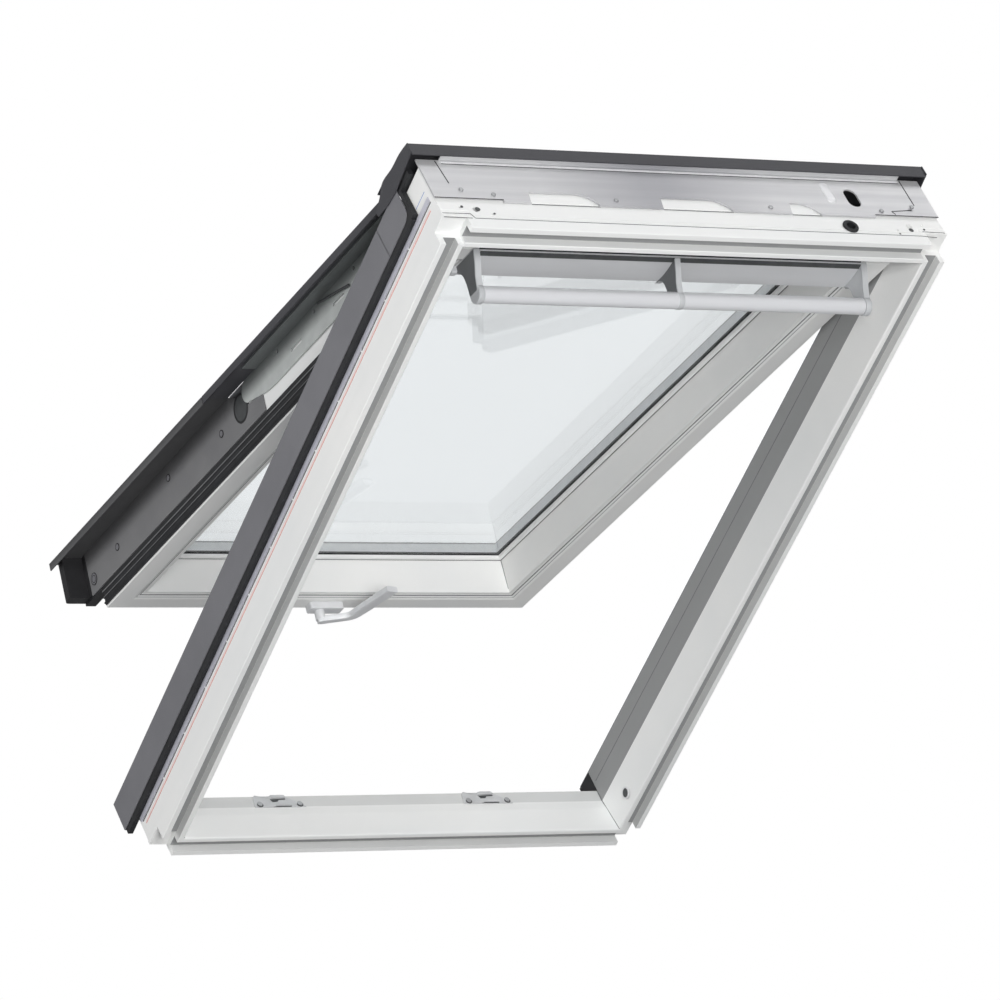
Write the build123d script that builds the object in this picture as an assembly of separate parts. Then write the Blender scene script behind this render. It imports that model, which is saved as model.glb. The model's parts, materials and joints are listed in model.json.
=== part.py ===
# Top-hung roof window with a cleaning pivot, a ventilation bar and a bottom handle.
#
# It is drawn closed and flat: X to the right seen from outside, Y up the slope, Z outward,
# with the room-side plane of the frame at Z = 0 and the lower edge of the frame at Y = 0.
# The sash and its arms are then opened about the top hinge, and the whole is laid at the roof's pitch.
# "left" and "right" are as seen from the room, so left is at positive X while the window lies flat.
import os
from math import atan2, degrees, hypot

from build123d import *

os.makedirs("parts", exist_ok=True)

# Whole window
FRAME_WIDTH = 780.0
FRAME_LENGTH = 1178.0
ROOF_PITCH = 45.0
OPEN_ANGLE = 19.75
SEAT = 0.3
OVERRUN = 5.0
HALF_WIDTH = FRAME_WIDTH / 2

# Frame members: lining groove between an outer lip and an inner nose, then a splay up to the rebate
LIP = 8.3
GROOVE_WIDTH = 18.2
GROOVE_DEPTH = 13.0
NOSE = 8.5
NOSE_ROUND = 2.5
EDGE_ROUND = 1.2
REBATE = 40.0
SPLAY_TOP = 57.5
SIDE_HEIGHT = 114.5
TOP_HEIGHT = 73.0
SIDE_STEP = 0.8
SIDE_STEP_LEVEL = 28.5
ORIGIN_LEVEL = SIDE_STEP_LEVEL / 2
NOSE_OUT = LIP + GROOVE_WIDTH
NOSE_IN = NOSE_OUT + NOSE

# Sill: the bottom member stands almost square, with a soft step under the strikers
SILL_SOFT = 43.0
SILL_HARD = 55.0
SILL_HEIGHT = 78.0
SILL_STEP = 1.0
SILL_FACE = NOSE_IN - SILL_STEP

# Joint line, corner notches and holes of the frame
JOINT_LINE = 1.2
JOINT_LEVEL = 22.5
END_LINE_RISE = 10.2
END_LINE_LENGTH = 43.0
BACK_LINE_LEVEL = 53.3
NOTCH_BOTTOM = 36.0
NOTCH_TOP = 30.0
NOTCH_DEPTH = 22.0
SCREW_HOLE_R = 4.5
SCREW_HOLE_DEPTH = 30.0
SCREW_HOLE_IN = 54.5
SCREW_HOLE_LEVEL = 36.5
PILOT_R = 2.0
PILOT_DEPTH = 8.0
PILOT_REACH = 22.5
PILOT_OUT_RISE = 3.0
PILOT_IN_RISE = -8.5

# Bushings
CABLE_BUSH_R = 11.5
CABLE_BUSH_BORE = 6.5
CABLE_BUSH_WALL = 1.4
CABLE_BUSH_HEAD = 2.5
CABLE_BUSH_IN = 152.0
CABLE_BUSH_LEVEL = 30.0
BOLT_BUSH_R = 9.0
BOLT_BUSH_BODY_R = 6.6
BOLT_BUSH_BORE = 5.0
BOLT_BUSH_HEAD = 1.2
BOLT_BUSH_UP = 89.0
BOLT_BUSH_LEVEL = 22.0
BUSH_DEPTH = 16.0

# Steel strip and black seal on the outer side of the frame
STRIP_THICK = 1.2
STRIP_LOW = 61.5
STRIP_HIGH = 73.0
STRIP_START = 14.0
STRIP_END_GAP = 34.0
STRIP_HOLE_R = 2.0
STRIP_HOLES = 6
SEAL_LOW = 76.0
SEAL_HIGH = 93.0
SEAL_END_GAP = 82.0

# Aluminium cladding of the frame
SHEET = 1.5
CLAD_OUT = 9.0
CLAD_LOW = 77.0
CLAD_HIGH = 127.0
CLAD_OVERHANG = 29.0
CLAD_TOP_GAP = 66.0
CLAD_ROUND = 20.0
CLAD_FLANGE_GAP = 120.0
CLAD_INNER = 38.0
CLAD_CAP_NOTCH = 3.0
CLAD_CAP_GAP = 4.0
SILL_CLAD_DROP = 26.0
SILL_CLAD_OUT = 14.0
SILL_CLAD_INNER = 26.0

# Hood over the top member, its ends, and the steel plate below it
HOOD_EDGE_GAP = 86.0
HOOD_BREAK_GAP = 66.0
HOOD_FRONT_OUT = 14.5
HOOD_FRONT_LEAN = 1.0
HOOD_LOW = 125.0
HOOD_FRONT_HIGH = 144.5
HOOD_HIGH = 158.5
HOOD_SIDE_OUT = 9.0
HOOD_HALF = HALF_WIDTH + HOOD_SIDE_OUT
HOOD_END_OUT = 15.5
HOOD_END_LOW = 103.0
HOOD_END_WIDTH = 118.5
HOOD_END_HEIGHT = 54.0
HOOD_END_SHARES = (
    (0.0, 0.463),
    (0.0, 0.759),
    (0.198, 0.861),
    (0.426, 0.898),
    (0.671, 1.0),
    (0.840, 0.833),
    (1.0, 0.481),
    (0.933, 0.185),
    (0.705, 0.0),
    (0.367, 0.093),
)
PLATE = 2.4
PLATE_HALF = HALF_WIDTH
PLATE_LOW = 50.0
PLATE_HIGH = 127.5
PLATE_END_LOW = 54.6
PLATE_END_LENGTH = 102.0
CUTOUT_HIGH = 71.5
CUTOUT_ROUND = 9.0
CUTOUT_SLOPE = 12.0
CUTOUT_SHARES = ((0.364, 0.631), (-0.162, 0.115), (-0.521, -0.400))
SLIT_WIDTH = 2.0
SLIT_LOW = 78.0
SLIT_LEFT_IN = 34.0
SLIT_RIGHT_IN = 27.0
SLOT_IN = 122.0
SLOT_WIDTH = 17.0
SLOT_LOW = 69.0
SLOT_HIGH = 104.0
BOSS_IN = 153.0
BOSS_WIDTH = 14.0
BOSS_LOW = 77.0
BOSS_HIGH = 115.0
BOSS_HEIGHT = 2.0
END_TAB = 1.6
END_TAB_HEIGHT = 19.0
END_TAB_LENGTH = 62.0
RAIL_IN = 34.0
RAIL_LOW = 126.0
RAIL_HIGH = 133.0
RAIL_OUT = 8.0
PLATE_SCREW_R = 3.2
PLATE_SCREW_HEAD = 2.2
PLATE_SCREW_SHARES = ((0.769, 0.161), (0.295, 0.142), (-0.317, 0.123), (-0.772, 0.148))
END_SCREW_LEVEL = 69.7
END_SCREW_LEFT_IN = 44.5
END_SCREW_RIGHT_IN = 37.0

# Sash members: room face, chamfer, shadow groove, deep reveal, glass seat
SASH_GAP = 4.5
SASH_LOW_GAP = 4.9
SASH_HIGH_GAP = 8.0
SASH_HALF = HALF_WIDTH - REBATE - SASH_GAP
SASH_LOW = NOSE_IN + SASH_LOW_GAP
SASH_HIGH = FRAME_LENGTH - REBATE - SASH_HIGH_GAP
SASH_LEVEL = 49.0
SASH_FACE = 28.5
SASH_CHAMFER = 10.5
SASH_CHAMFER_RISE = 4.0
SASH_GROOVE = 5.0
SASH_GROOVE_DEPTH = 5.0
SASH_REVEAL = 45.0
REVEAL_TOP = 49.0
GLASS_SEAT = 42.0
SASH_TOP = 133.0

# Insulating glass and its white bead
GLASS_LEVEL = 110.0
GLASS_EDGE = 1.0
PANE = 4.0
CAVITY = 15.0
SPACER_INSET = 25.0
SPACER_WIDTH = 13.0
BEAD_WIDTH = 17.0
BEAD_THICK = 3.0
BEAD_GAP = 1.0
GLASS_TOP = GLASS_LEVEL + PANE + CAVITY + PANE

# Black seal round the sides and top of the sash
SASH_SEAL_LOW = 52.0
SASH_SEAL_HIGH = 81.5
SASH_SEAL_BASE = 1.2
SASH_SEAL_RIDGE = 1.6
SASH_SEAL_RIDGE_SHARES = (0.136, 0.407, 0.712)
SASH_SEAL_RIDGE_HALF = 2.4

# Aluminium cladding of the sash
FLANGE_IN = 2.0
FLANGE_OUT = HALF_WIDTH - FLANGE_IN
FLANGE_LIP = 11.0
FLANGE_HIGH = 150.0
FLANGE_LOW_END = -26.0
SLOPE = 56.0
FACE_THICK = 1.8
FACE_LOW = 82.5
FACE_START = 9.0
SPLIT = 60.0
SPLIT_GAP = 2.0
TRIM_SHORT = 38.0
END_CAP_IN = 18.0
END_CAP_OUT = HALF_WIDTH - END_CAP_IN
END_CAP_LOW = 84.0
END_CAP_HIGH = 133.0
END_CAP_START = -21.0
END_CAP_END = -1.5
END_CAP_ROUND = 8.0
END_CAP_WALL = 2.5
CLAD_SCREW_R = 4.2
CLAD_SCREW_HEAD = 0.7
CLAD_SCREW_SHARES = ((0.929, 0.447), (0.583, 0.705), (0.208, 0.432))
CLAD_PLUG_R = 9.0
CLAD_PLUG_SHARES = (0.032, 0.295)

# Lift arms, their hinge at the top of the frame and the cleaning pivot on the sash
HINGE_IN = 68.0
HINGE_UP = FRAME_LENGTH - HINGE_IN
TRIM_END = HINGE_UP - TRIM_SHORT
HINGE_LEVEL = 130.0
HINGE_PIN_R = 5.0
HINGE_EYE_R = 13.0
RUNNING_FIT = 0.05
ARM_REACH = 545.0
PIVOT_UP = HINGE_UP - ARM_REACH
PIVOT_LEVEL = 131.0
PIVOT_PIN_R = 6.0
PIVOT_EYE_R = 17.0
PIVOT_PIN_DEPTH = 12.0
ARM_GAP = 0.8
ARM_THICK = 2.5
ARM_LOW = 102.0
ARM_TOE = 55.0
ARM_HEEL = 100.0
ARM_ROUND = 250.0
ARM_FLANGE = 22.0
ARM_FLANGE_TOE = 35.0
ARM_FLANGE_HEEL = 50.0
ARM_NECK_LEVEL = 134.5
ARM_NECK_START = 34.0
ARM_NECK_END = 12.0
ARM_SLOT_LENGTH = 34.0
ARM_SLOT_WIDTH = 5.0
ARM_SLOT_SHARES = ((0.281, 0.411), (0.523, 0.411), (0.725, 0.411))
ARM_HOLE_R = 3.0
ARM_HOLE_SHARES = ((0.184, 0.801), (0.398, 0.801), (0.624, 0.801), (0.835, 0.736))
COVER_SHORT = 36.0
CUP_DROP = 37.0
CUP_LEVEL = 114.0
CUP_R = 14.0
CUP_RECESS_R = 9.5
CUP_DEPTH = 7.0
CUP_FLOOR = 1.5
BRACKET_THICK = 2.6
BRACKET_POCKET = 3.4
BRACKET_LOW = 72.0
BRACKET_HALF = 26.0
BRACKET_NECK = 12.0

# Strikers on the sill
STRIKER_SHARES = (0.467, -0.405)
STRIKER_LENGTH = 82.0
STRIKER_LOW = 56.0
STRIKER_HIGH = 77.0
STRIKER_THICK = 1.5
STRIKER_ROUND = 7.0
STRIKER_HOOK = 24.0
STRIKER_HOOK_OUT = 1.8
STRIKER_HOOK_HEIGHT = 8.0
STRIKER_WEDGE = 20.0
STRIKER_WEDGE_RISE = 9.0
STRIKER_SCREW_X = 32.0
STRIKER_SCREW_R = 4.0
STRIKER_SCREW_HEAD = 0.9
STRIKER_SCREW_LEVEL = 62.0

# Handle at the bottom of the sash
HANDLE_BASE_LENGTH = 55.0
HANDLE_BASE_DEPTH = 20.0
HANDLE_BASE_SHIFT = 2.5
HANDLE_BASE_IN = 2.6
HANDLE_BASE_LEVEL = 38.0
HANDLE_BASE_ROUND = 4.0
HANDLE_X = 8.0
HANDLE_UP = SASH_LOW + HANDLE_BASE_IN + HANDLE_BASE_DEPTH / 2
HANDLE_SPINDLE_R = 4.5
HANDLE_SPINDLE = 8.0
HANDLE_HUB_R = 7.5
HANDLE_LEVEL = 15.0
HANDLE_THICK = 9.0
HANDLE_WIDTH = 14.0
HANDLE_ELBOW_ACROSS = 44.0
HANDLE_ELBOW_RISE = 13.5
HANDLE_END_ACROSS = 67.0
HANDLE_END_RISE = 105.5
HANDLE_ROUND = 3.0

# Ventilation flap with its control bar at the top of the sash
VENT_IN = 53.0
VENT_UP = SASH_HIGH - VENT_IN
VENT_LEVEL = 44.0
VENT_EYE_R = 4.4
VENT_PIN_R = 2.5
VENT_PIN = 7.0
KNUCKLE = 8.0
KNUCKLE_HALF = 6.0
KNUCKLE_LOW = 39.0
BAR_IN = 22.0
BAR_UP = SASH_HIGH - BAR_IN
BAR_LEVEL = -12.0
BAR_R = 9.5
BAR_WALL = 1.6
BAR_SHORT = 49.5
BAR_HALF = SASH_HALF - BAR_SHORT
BAR_COLLAR = 2.6
END_BRACKET = 9.0
MIDDLE_BRACKET = 7.0
MIDDLE_SHIFT = 5.0
BRACKET_LONG = 59.5
BRACKET_IN = 56.5
END_BRACKET_SHARES = (
    (0.0, 0.960),
    (0.076, 0.828),
    (0.277, 0.613),
    (0.361, 0.331),
    (0.395, 0.0),
    (0.765, 0.0),
    (0.815, 0.364),
    (0.916, 0.629),
    (1.0, 1.0),
    (0.042, 1.0),
)
END_BRACKET_ROUND = 6.0
MIDDLE_BRACKET_SHARES = ((0.513, 0.497), (0.866, 0.497), (0.765, 0.0), (0.395, 0.0))
FLAP_THICK = 2.4
FLAP_SHARES = ((0.782, 0.503), (0.916, 0.712), (1.0, 1.0))

SIDES = ("left", "right", "top", "bottom")


def outline(points, rounds=()):
    """Closed face through points, with the listed corners (index, radius) rounded."""
    face = make_face(Polyline(*points, close=True))
    for index, radius in rounds:
        corner = face.vertices().sort_by_distance(Vector(*points[index]))[0]
        face = fillet(corner, radius)
    return face


def scaled(shares, corner, size):
    """Points given as shares of a box with this corner and size."""
    return [(corner[0] + a * size[0], corner[1] + b * size[1]) for a, b in shares]


def along(face, start, stop):
    """Section drawn in (X, Z), carried along Y from start to stop."""
    return Pos(0, start, 0) * extrude(Plane.XZ * face, amount=start - stop)


def across(face, start, stop):
    """Section drawn in (Y, Z), carried along X from start to stop."""
    return Pos(start, 0, 0) * extrude(Plane.YZ * face, amount=stop - start)


def upright(face, start, stop):
    """Outline drawn in (X, Y), carried along Z from start to stop."""
    return Pos(0, 0, start) * extrude(face, amount=stop - start)


def block(x, y, z):
    """Box between the pairs of limits x, y and z."""
    box = Box(x[1] - x[0], y[1] - y[0], z[1] - z[0], align=(Align.MIN,) * 3)
    return Pos(x[0], y[0], z[0]) * box


def rod(radius, x, y, z):
    """Round bar along X between the limits x, centred on y and z."""
    return across(Pos(y, z) * Circle(radius), *x)


def post(radius, x, y, z):
    """Round bar along Y between the limits y, centred on x and z."""
    return along(Pos(x, z) * Circle(radius), *y)


def flipped(shape):
    """The right-hand twin of a left-hand piece."""
    return mirror(shape, about=Plane.YZ)


def both(shape):
    """A left-hand piece together with its twin."""
    return Compound(children=[shape, flipped(shape)])


def mitred(face, length, first, last, depth):
    """Section drawn as (distance inward, Z), cut at 45 degrees to the depths first and last at its ends."""
    bar = along(face, 0, length)
    trim = [(0, 0), (first, first), (depth, first)]
    trim += [(depth, length - last), (last, length - last), (0, length)]
    trim = list(dict.fromkeys(trim))
    box = bar.bounding_box()
    return bar & upright(make_face(Polyline(*trim, close=True)), box.min.Z, box.max.Z)


def ring(faces, half, low, high, depths):
    """Four mitred members round a rectangle, keyed left, right, top and bottom."""
    length = high - low
    top, bottom = depths["top"], depths["bottom"]
    left, right = depths["left"], depths["right"]
    return {
        "left": Pos(half, high, 0) * Rot(0, 0, 180) * mitred(faces["left"], length, top, bottom, left),
        "right": Pos(-half, low, 0) * mitred(faces["right"], length, bottom, top, right),
        "top": Pos(-half, high, 0) * Rot(0, 0, -90) * mitred(faces["top"], 2 * half, top, top, top),
        "bottom": Pos(half, low, 0) * Rot(0, 0, 90)
        * mitred(faces["bottom"], 2 * half, bottom, bottom, bottom),
    }


def even_ring(face, half, low, high, depth):
    """Four mitred members of one section."""
    return ring(dict.fromkeys(SIDES, face), half, low, high, dict.fromkeys(SIDES, depth))


def hoop(half, low, high, width, bottom, top):
    """Flat rectangular ring of the given width, from level bottom to level top."""
    outer = block((-half, half), (low, high), (bottom, top))
    levels = (bottom - OVERRUN, top + OVERRUN)
    return outer - block((width - half, half - width), (low + width, high - width), levels)


def frame_section(height, inner):
    """Lip, lining groove and nose, then the given points of the inner face, of one frame member."""
    points = [(0, 0), (LIP, 0), (LIP, GROOVE_DEPTH), (NOSE_OUT, GROOVE_DEPTH), (NOSE_OUT, 0), (NOSE_IN, 0)]
    points += list(inner)
    points += [(SIDE_STEP, height), (SIDE_STEP, SIDE_STEP_LEVEL), (0, SIDE_STEP_LEVEL)]
    return outline(points, ((0, EDGE_ROUND), (4, EDGE_ROUND), (5, NOSE_ROUND)))


def make_frame():
    """The four white frame members with their corner notches, pockets and holes."""
    side = frame_section(SIDE_HEIGHT, ((REBATE, SPLAY_TOP), (REBATE, SIDE_HEIGHT)))
    sill = ((NOSE_IN, SILL_SOFT), (SILL_FACE, SILL_HARD), (SILL_FACE, SILL_HEIGHT))
    faces = {
        "left": side,
        "right": side,
        "top": frame_section(TOP_HEIGHT, ((REBATE, SPLAY_TOP), (REBATE, TOP_HEIGHT))),
        "bottom": frame_section(SILL_HEIGHT, sill),
    }
    depths = {"left": REBATE, "right": REBATE, "top": REBATE, "bottom": NOSE_IN}
    members = ring(faces, HALF_WIDTH, 0, FRAME_LENGTH, depths)
    inner = HALF_WIDTH - REBATE
    head = (FRAME_LENGTH - REBATE, FRAME_LENGTH)
    heel = block((inner, HALF_WIDTH - SIDE_STEP), head, (TOP_HEIGHT + SEAT, SIDE_HEIGHT))
    pocket = block(
        (inner - OVERRUN, inner + BRACKET_POCKET),
        (HINGE_UP - BRACKET_HALF - SEAT, HINGE_UP + BRACKET_HALF + SEAT),
        (BRACKET_LOW - SEAT, SIDE_HEIGHT + OVERRUN),
    )
    members["left"] = members["left"] + heel - pocket
    members["right"] = members["right"] + flipped(heel) - flipped(pocket)
    outer = HALF_WIDTH + OVERRUN
    low_notch = block((HALF_WIDTH - NOSE_OUT, outer), (-OVERRUN, NOTCH_BOTTOM), (-OVERRUN, NOTCH_DEPTH))
    high_limits = (FRAME_LENGTH - NOTCH_TOP, FRAME_LENGTH + OVERRUN)
    high_notch = block((HALF_WIDTH - NOSE_IN, outer), high_limits, (-OVERRUN, NOTCH_DEPTH))
    for name in SIDES:
        for notch in (low_notch, high_notch):
            members[name] = members[name] - notch - flipped(notch)
    bolt_wall = HALF_WIDTH - NOSE_IN
    bolt_hole = (-bolt_wall - BUSH_DEPTH, REBATE - bolt_wall)
    members["right"] -= rod(BOLT_BUSH_BODY_R, bolt_hole, BOLT_BUSH_UP, BOLT_BUSH_LEVEL)
    back = FRAME_LENGTH + OVERRUN
    line = (FRAME_LENGTH - JOINT_LINE, back)
    members["top"] -= block((-HALF_WIDTH, HALF_WIDTH), line, (JOINT_LEVEL, JOINT_LEVEL + JOINT_LINE))
    behind = PLATE_HALF - PLATE_END_LENGTH
    members["top"] -= block((-behind, behind), line, (BACK_LINE_LEVEL, BACK_LINE_LEVEL + JOINT_LINE))
    start = HALF_WIDTH - END_LINE_LENGTH
    level = JOINT_LEVEL + END_LINE_RISE
    corner_line = block((start, outer), line, (level, level + JOINT_LINE))
    corner_line += block((start, start + JOINT_LINE), line, (JOINT_LEVEL, level + JOINT_LINE))
    for name in ("left", "right", "top"):
        members[name] = members[name] - corner_line - flipped(corner_line)
    bush_r = CABLE_BUSH_BORE + CABLE_BUSH_WALL + SEAT
    bush_x = CABLE_BUSH_IN - HALF_WIDTH
    members["top"] -= post(bush_r, bush_x, (FRAME_LENGTH - BUSH_DEPTH, back), CABLE_BUSH_LEVEL)
    for sign in (1, -1):
        hole = (FRAME_LENGTH - SCREW_HOLE_DEPTH, back)
        hole_x = HALF_WIDTH - SCREW_HOLE_IN
        members["top"] -= post(SCREW_HOLE_R, sign * hole_x, hole, SCREW_HOLE_LEVEL)
        for reach, rise in ((PILOT_REACH, PILOT_OUT_RISE), (-PILOT_REACH, PILOT_IN_RISE)):
            pilot = (FRAME_LENGTH - PILOT_DEPTH, back)
            members["top"] -= post(PILOT_R, sign * (hole_x + reach), pilot, SCREW_HOLE_LEVEL + rise)
    return {"frame_" + name: members[name] for name in SIDES}


def make_bushings():
    """Cable bushing in the top member and bolt bushing in the right-hand splay."""
    face = FRAME_LENGTH + SEAT
    x = CABLE_BUSH_IN - HALF_WIDTH
    foot = FRAME_LENGTH - BUSH_DEPTH
    cable = post(CABLE_BUSH_R, x, (face, face + CABLE_BUSH_HEAD), CABLE_BUSH_LEVEL)
    cable = fillet(cable.edges().group_by(Axis.Y)[-1], EDGE_ROUND)
    cable += post(CABLE_BUSH_BORE + CABLE_BUSH_WALL, x, (foot + SEAT, face), CABLE_BUSH_LEVEL)
    through = (foot - OVERRUN, face + CABLE_BUSH_HEAD + OVERRUN)
    cable -= post(CABLE_BUSH_BORE, x, through, CABLE_BUSH_LEVEL)
    lean = (REBATE - NOSE_IN) * (BOLT_BUSH_LEVEL + BOLT_BUSH_R) / SPLAY_TOP
    wall = NOSE_IN - HALF_WIDTH
    head = (wall + lean + SEAT, wall + lean + SEAT + BOLT_BUSH_HEAD)
    shank = (wall - BUSH_DEPTH + SEAT, head[1])
    bolt = rod(BOLT_BUSH_BODY_R - SEAT, shank, BOLT_BUSH_UP, BOLT_BUSH_LEVEL)
    bolt += rod(BOLT_BUSH_R, head, BOLT_BUSH_UP, BOLT_BUSH_LEVEL)
    bolt -= rod(BOLT_BUSH_BORE, (shank[0] - OVERRUN, head[1] + OVERRUN), BOLT_BUSH_UP, BOLT_BUSH_LEVEL)
    return {"cable_bushing": cable, "bolt_bushing": bolt}


def make_frame_side():
    """Steel strip, black seal, cladding and lower corner block of the left side."""
    face = HALF_WIDTH - SIDE_STEP + SEAT
    strip_end = FRAME_LENGTH - STRIP_END_GAP
    strip = block((face, face + STRIP_THICK), (STRIP_START, strip_end), (STRIP_LOW, STRIP_HIGH))
    pitch = (strip_end - STRIP_START) / STRIP_HOLES
    for index in range(STRIP_HOLES):
        up = STRIP_START + pitch * index + pitch / 2
        strip -= rod(STRIP_HOLE_R, (face - OVERRUN, face + OVERRUN), up, (STRIP_LOW + STRIP_HIGH) / 2)
    wall = HALF_WIDTH + CLAD_OUT
    edge = wall - SHEET - SEAT
    middle = (SEAL_LOW + SEAL_HIGH) / 2
    seal = [(face, SEAL_LOW), (edge, SEAL_LOW), (edge, SEAL_HIGH)]
    seal += [(edge - SHEET, SEAL_HIGH), (edge - SHEET, middle), (face, middle)]
    seal = along(outline(seal), SHEET + SEAT - CLAD_OVERHANG, FRAME_LENGTH - SEAL_END_GAP)
    inner = HALF_WIDTH - CLAD_INNER
    seat = SIDE_HEIGHT + SEAT
    channel = [(wall - SHEET, CLAD_LOW), (wall, CLAD_LOW), (wall, CLAD_HIGH), (inner - SHEET, CLAD_HIGH)]
    under = CLAD_HIGH - SHEET
    channel += [(inner - SHEET, seat), (inner, seat), (inner, under), (wall - SHEET, under)]
    cladding = along(outline(channel), -CLAD_OVERHANG, FRAME_LENGTH - CLAD_FLANGE_GAP)
    notch = (-CLAD_OVERHANG - OVERRUN, CLAD_CAP_NOTCH)
    cladding -= block((0, END_CAP_OUT + CLAD_CAP_GAP), notch, (0, CLAD_HIGH + OVERRUN))
    tail = [(0, CLAD_LOW), (FRAME_LENGTH - CLAD_TOP_GAP, CLAD_LOW)]
    tail += [(FRAME_LENGTH - CLAD_TOP_GAP, CLAD_HIGH), (0, CLAD_HIGH)]
    cladding += across(outline(tail, ((1, CLAD_ROUND),)), wall - SHEET, wall)
    cladding += block((face, wall), (-CLAD_OVERHANG, SHEET - CLAD_OVERHANG), (CLAD_LOW, CLAD_HIGH))
    depth = NOSE_IN - SEAT
    foot = [(SIDE_STEP, 0), (REBATE, 0), (REBATE, depth)]
    foot += [(depth, depth - SEAT), (SIDE_STEP, SIDE_STEP - SEAT)]
    corner = make_face(Polyline(*[(HALF_WIDTH - inward, up) for inward, up in foot], close=True))
    corner = upright(corner, SILL_HEIGHT + SEAT, SIDE_HEIGHT)
    return {"side_strip": strip, "cladding_seal": seal, "frame_cladding": cladding, "lower_corner": corner}


def make_sill_cladding():
    """Folded sheet over the outer edge of the sill, between the lower corner blocks."""
    half = HALF_WIDTH - REBATE - SEAT
    seat = SILL_HEIGHT + SEAT
    high = seat + SHEET
    outer = -SILL_CLAD_OUT
    fold = [(outer, high - SILL_CLAD_DROP), (outer + SHEET, high - SILL_CLAD_DROP), (outer + SHEET, seat)]
    fold += [(SILL_CLAD_INNER, seat), (SILL_CLAD_INNER, high), (outer, high)]
    return {"sill_cladding": across(outline(fold), -half, half)}


def make_hood():
    """Hood folded over the top member, and its left end with a wavy outline."""
    edge = FRAME_LENGTH - HOOD_EDGE_GAP
    bend = FRAME_LENGTH - HOOD_BREAK_GAP
    front = FRAME_LENGTH + HOOD_FRONT_OUT
    foot = front - HOOD_FRONT_LEAN
    hood = [(edge, HOOD_HIGH), (bend, HOOD_HIGH), (front, HOOD_FRONT_HIGH), (foot, HOOD_LOW)]
    hood += [(foot - SHEET, HOOD_LOW), (front - SHEET, HOOD_FRONT_HIGH - SHEET)]
    hood += [(bend, HOOD_HIGH - SHEET), (edge, HOOD_HIGH - SHEET)]
    corner = (FRAME_LENGTH + HOOD_END_OUT, HOOD_END_LOW)
    points = scaled(HOOD_END_SHARES, corner, (-HOOD_END_WIDTH, HOOD_END_HEIGHT))
    straight = Polyline(*points[:2])
    wave = Spline(*points[1:], points[0])
    end = across(make_face([straight, wave]), HOOD_HALF + SEAT, HOOD_HALF + SEAT + SHEET)
    return {"hood": across(outline(hood), -HOOD_HALF, HOOD_HALF), "hood_end": end}


def make_top_plate():
    """Steel plate on the up-slope face with cut-outs, slits, slot, boss and end tab; rail and screws."""
    face = FRAME_LENGTH + SEAT
    top = face + PLATE
    through = (face - OVERRUN, top + OVERRUN)
    end = PLATE_HALF - PLATE_END_LENGTH
    edge = [(-PLATE_HALF, PLATE_HIGH), (-PLATE_HALF, PLATE_END_LOW), (-end, PLATE_END_LOW), (-end, PLATE_LOW)]
    edge += [(-x, level) for x, level in reversed(edge)]
    plate = along(outline(edge), face, top)
    for shares in CUTOUT_SHARES:
        start, stop = (PLATE_HALF * share for share in shares)
        cut = [(start, PLATE_LOW - OVERRUN), (start, PLATE_LOW), (start + CUTOUT_SLOPE, CUTOUT_HIGH)]
        cut += [(stop, CUTOUT_HIGH), (stop, PLATE_LOW - OVERRUN)]
        plate -= along(outline(cut, ((3, CUTOUT_ROUND),)), *through)
    for x in (PLATE_HALF - SLIT_LEFT_IN, SLIT_RIGHT_IN - PLATE_HALF):
        slit = (x - SLIT_WIDTH / 2, x + SLIT_WIDTH / 2)
        plate -= block(slit, through, (SLIT_LOW, PLATE_HIGH + OVERRUN))
    slot_x = (SLOT_IN - PLATE_HALF - SLOT_WIDTH / 2, SLOT_IN - PLATE_HALF + SLOT_WIDTH / 2)
    slot = [(slot_x[0], SLOT_LOW), (slot_x[1], SLOT_LOW), (slot_x[1], SLOT_HIGH), (slot_x[0], SLOT_HIGH)]
    slot_round = SLOT_WIDTH / 2 - SEAT
    plate -= along(outline(slot, ((2, slot_round), (3, slot_round))), *through)
    tab_x = (-PLATE_HALF, END_TAB_LENGTH - PLATE_HALF)
    tab_high = PLATE_END_LOW + END_TAB_HEIGHT
    tab = [(tab_x[0], PLATE_END_LOW), (tab_x[1], PLATE_END_LOW), (tab_x[1], tab_high), (tab_x[0], tab_high)]
    tab = along(outline(tab, ((1, END_TAB_HEIGHT / 3), (2, END_TAB_HEIGHT / 2))), top, top + END_TAB)
    boss = SlotOverall(BOSS_HIGH - BOSS_LOW, BOSS_WIDTH, rotation=90)
    boss = Pos(BOSS_IN - PLATE_HALF, (BOSS_LOW + BOSS_HIGH) / 2) * boss
    boss = along(boss, top, top + BOSS_HEIGHT)
    boss = fillet(boss.edges().group_by(Axis.Y)[-1], BOSS_HEIGHT / 2)
    plate = plate + tab + boss
    back = top + SEAT
    out = back + RAIL_OUT
    rail = [(back, RAIL_LOW), (out, RAIL_LOW), (out, RAIL_HIGH), (out - SHEET, RAIL_HIGH)]
    rail += [(out - SHEET, RAIL_LOW + SHEET), (back, RAIL_LOW + SHEET)]
    rail = across(outline(rail), RAIL_IN - PLATE_HALF, PLATE_HALF - RAIL_IN)
    places = scaled(PLATE_SCREW_SHARES, (0, PLATE_LOW), (PLATE_HALF, PLATE_HIGH - PLATE_LOW))
    places = [(x, level, back) for x, level in places]
    places.append((PLATE_HALF - END_SCREW_LEFT_IN, END_SCREW_LEVEL, back))
    places.append((END_SCREW_RIGHT_IN - PLATE_HALF, END_SCREW_LEVEL, back + END_TAB))
    screws = []
    for x, level, seat in places:
        head = post(PLATE_SCREW_R, x, (seat, seat + PLATE_SCREW_HEAD), level)
        screws.append(fillet(head.edges().group_by(Axis.Y)[-1], PLATE_SCREW_HEAD / 2))
    return {"top_plate": plate, "top_rail": rail, "plate_screws": Compound(children=screws)}


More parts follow.
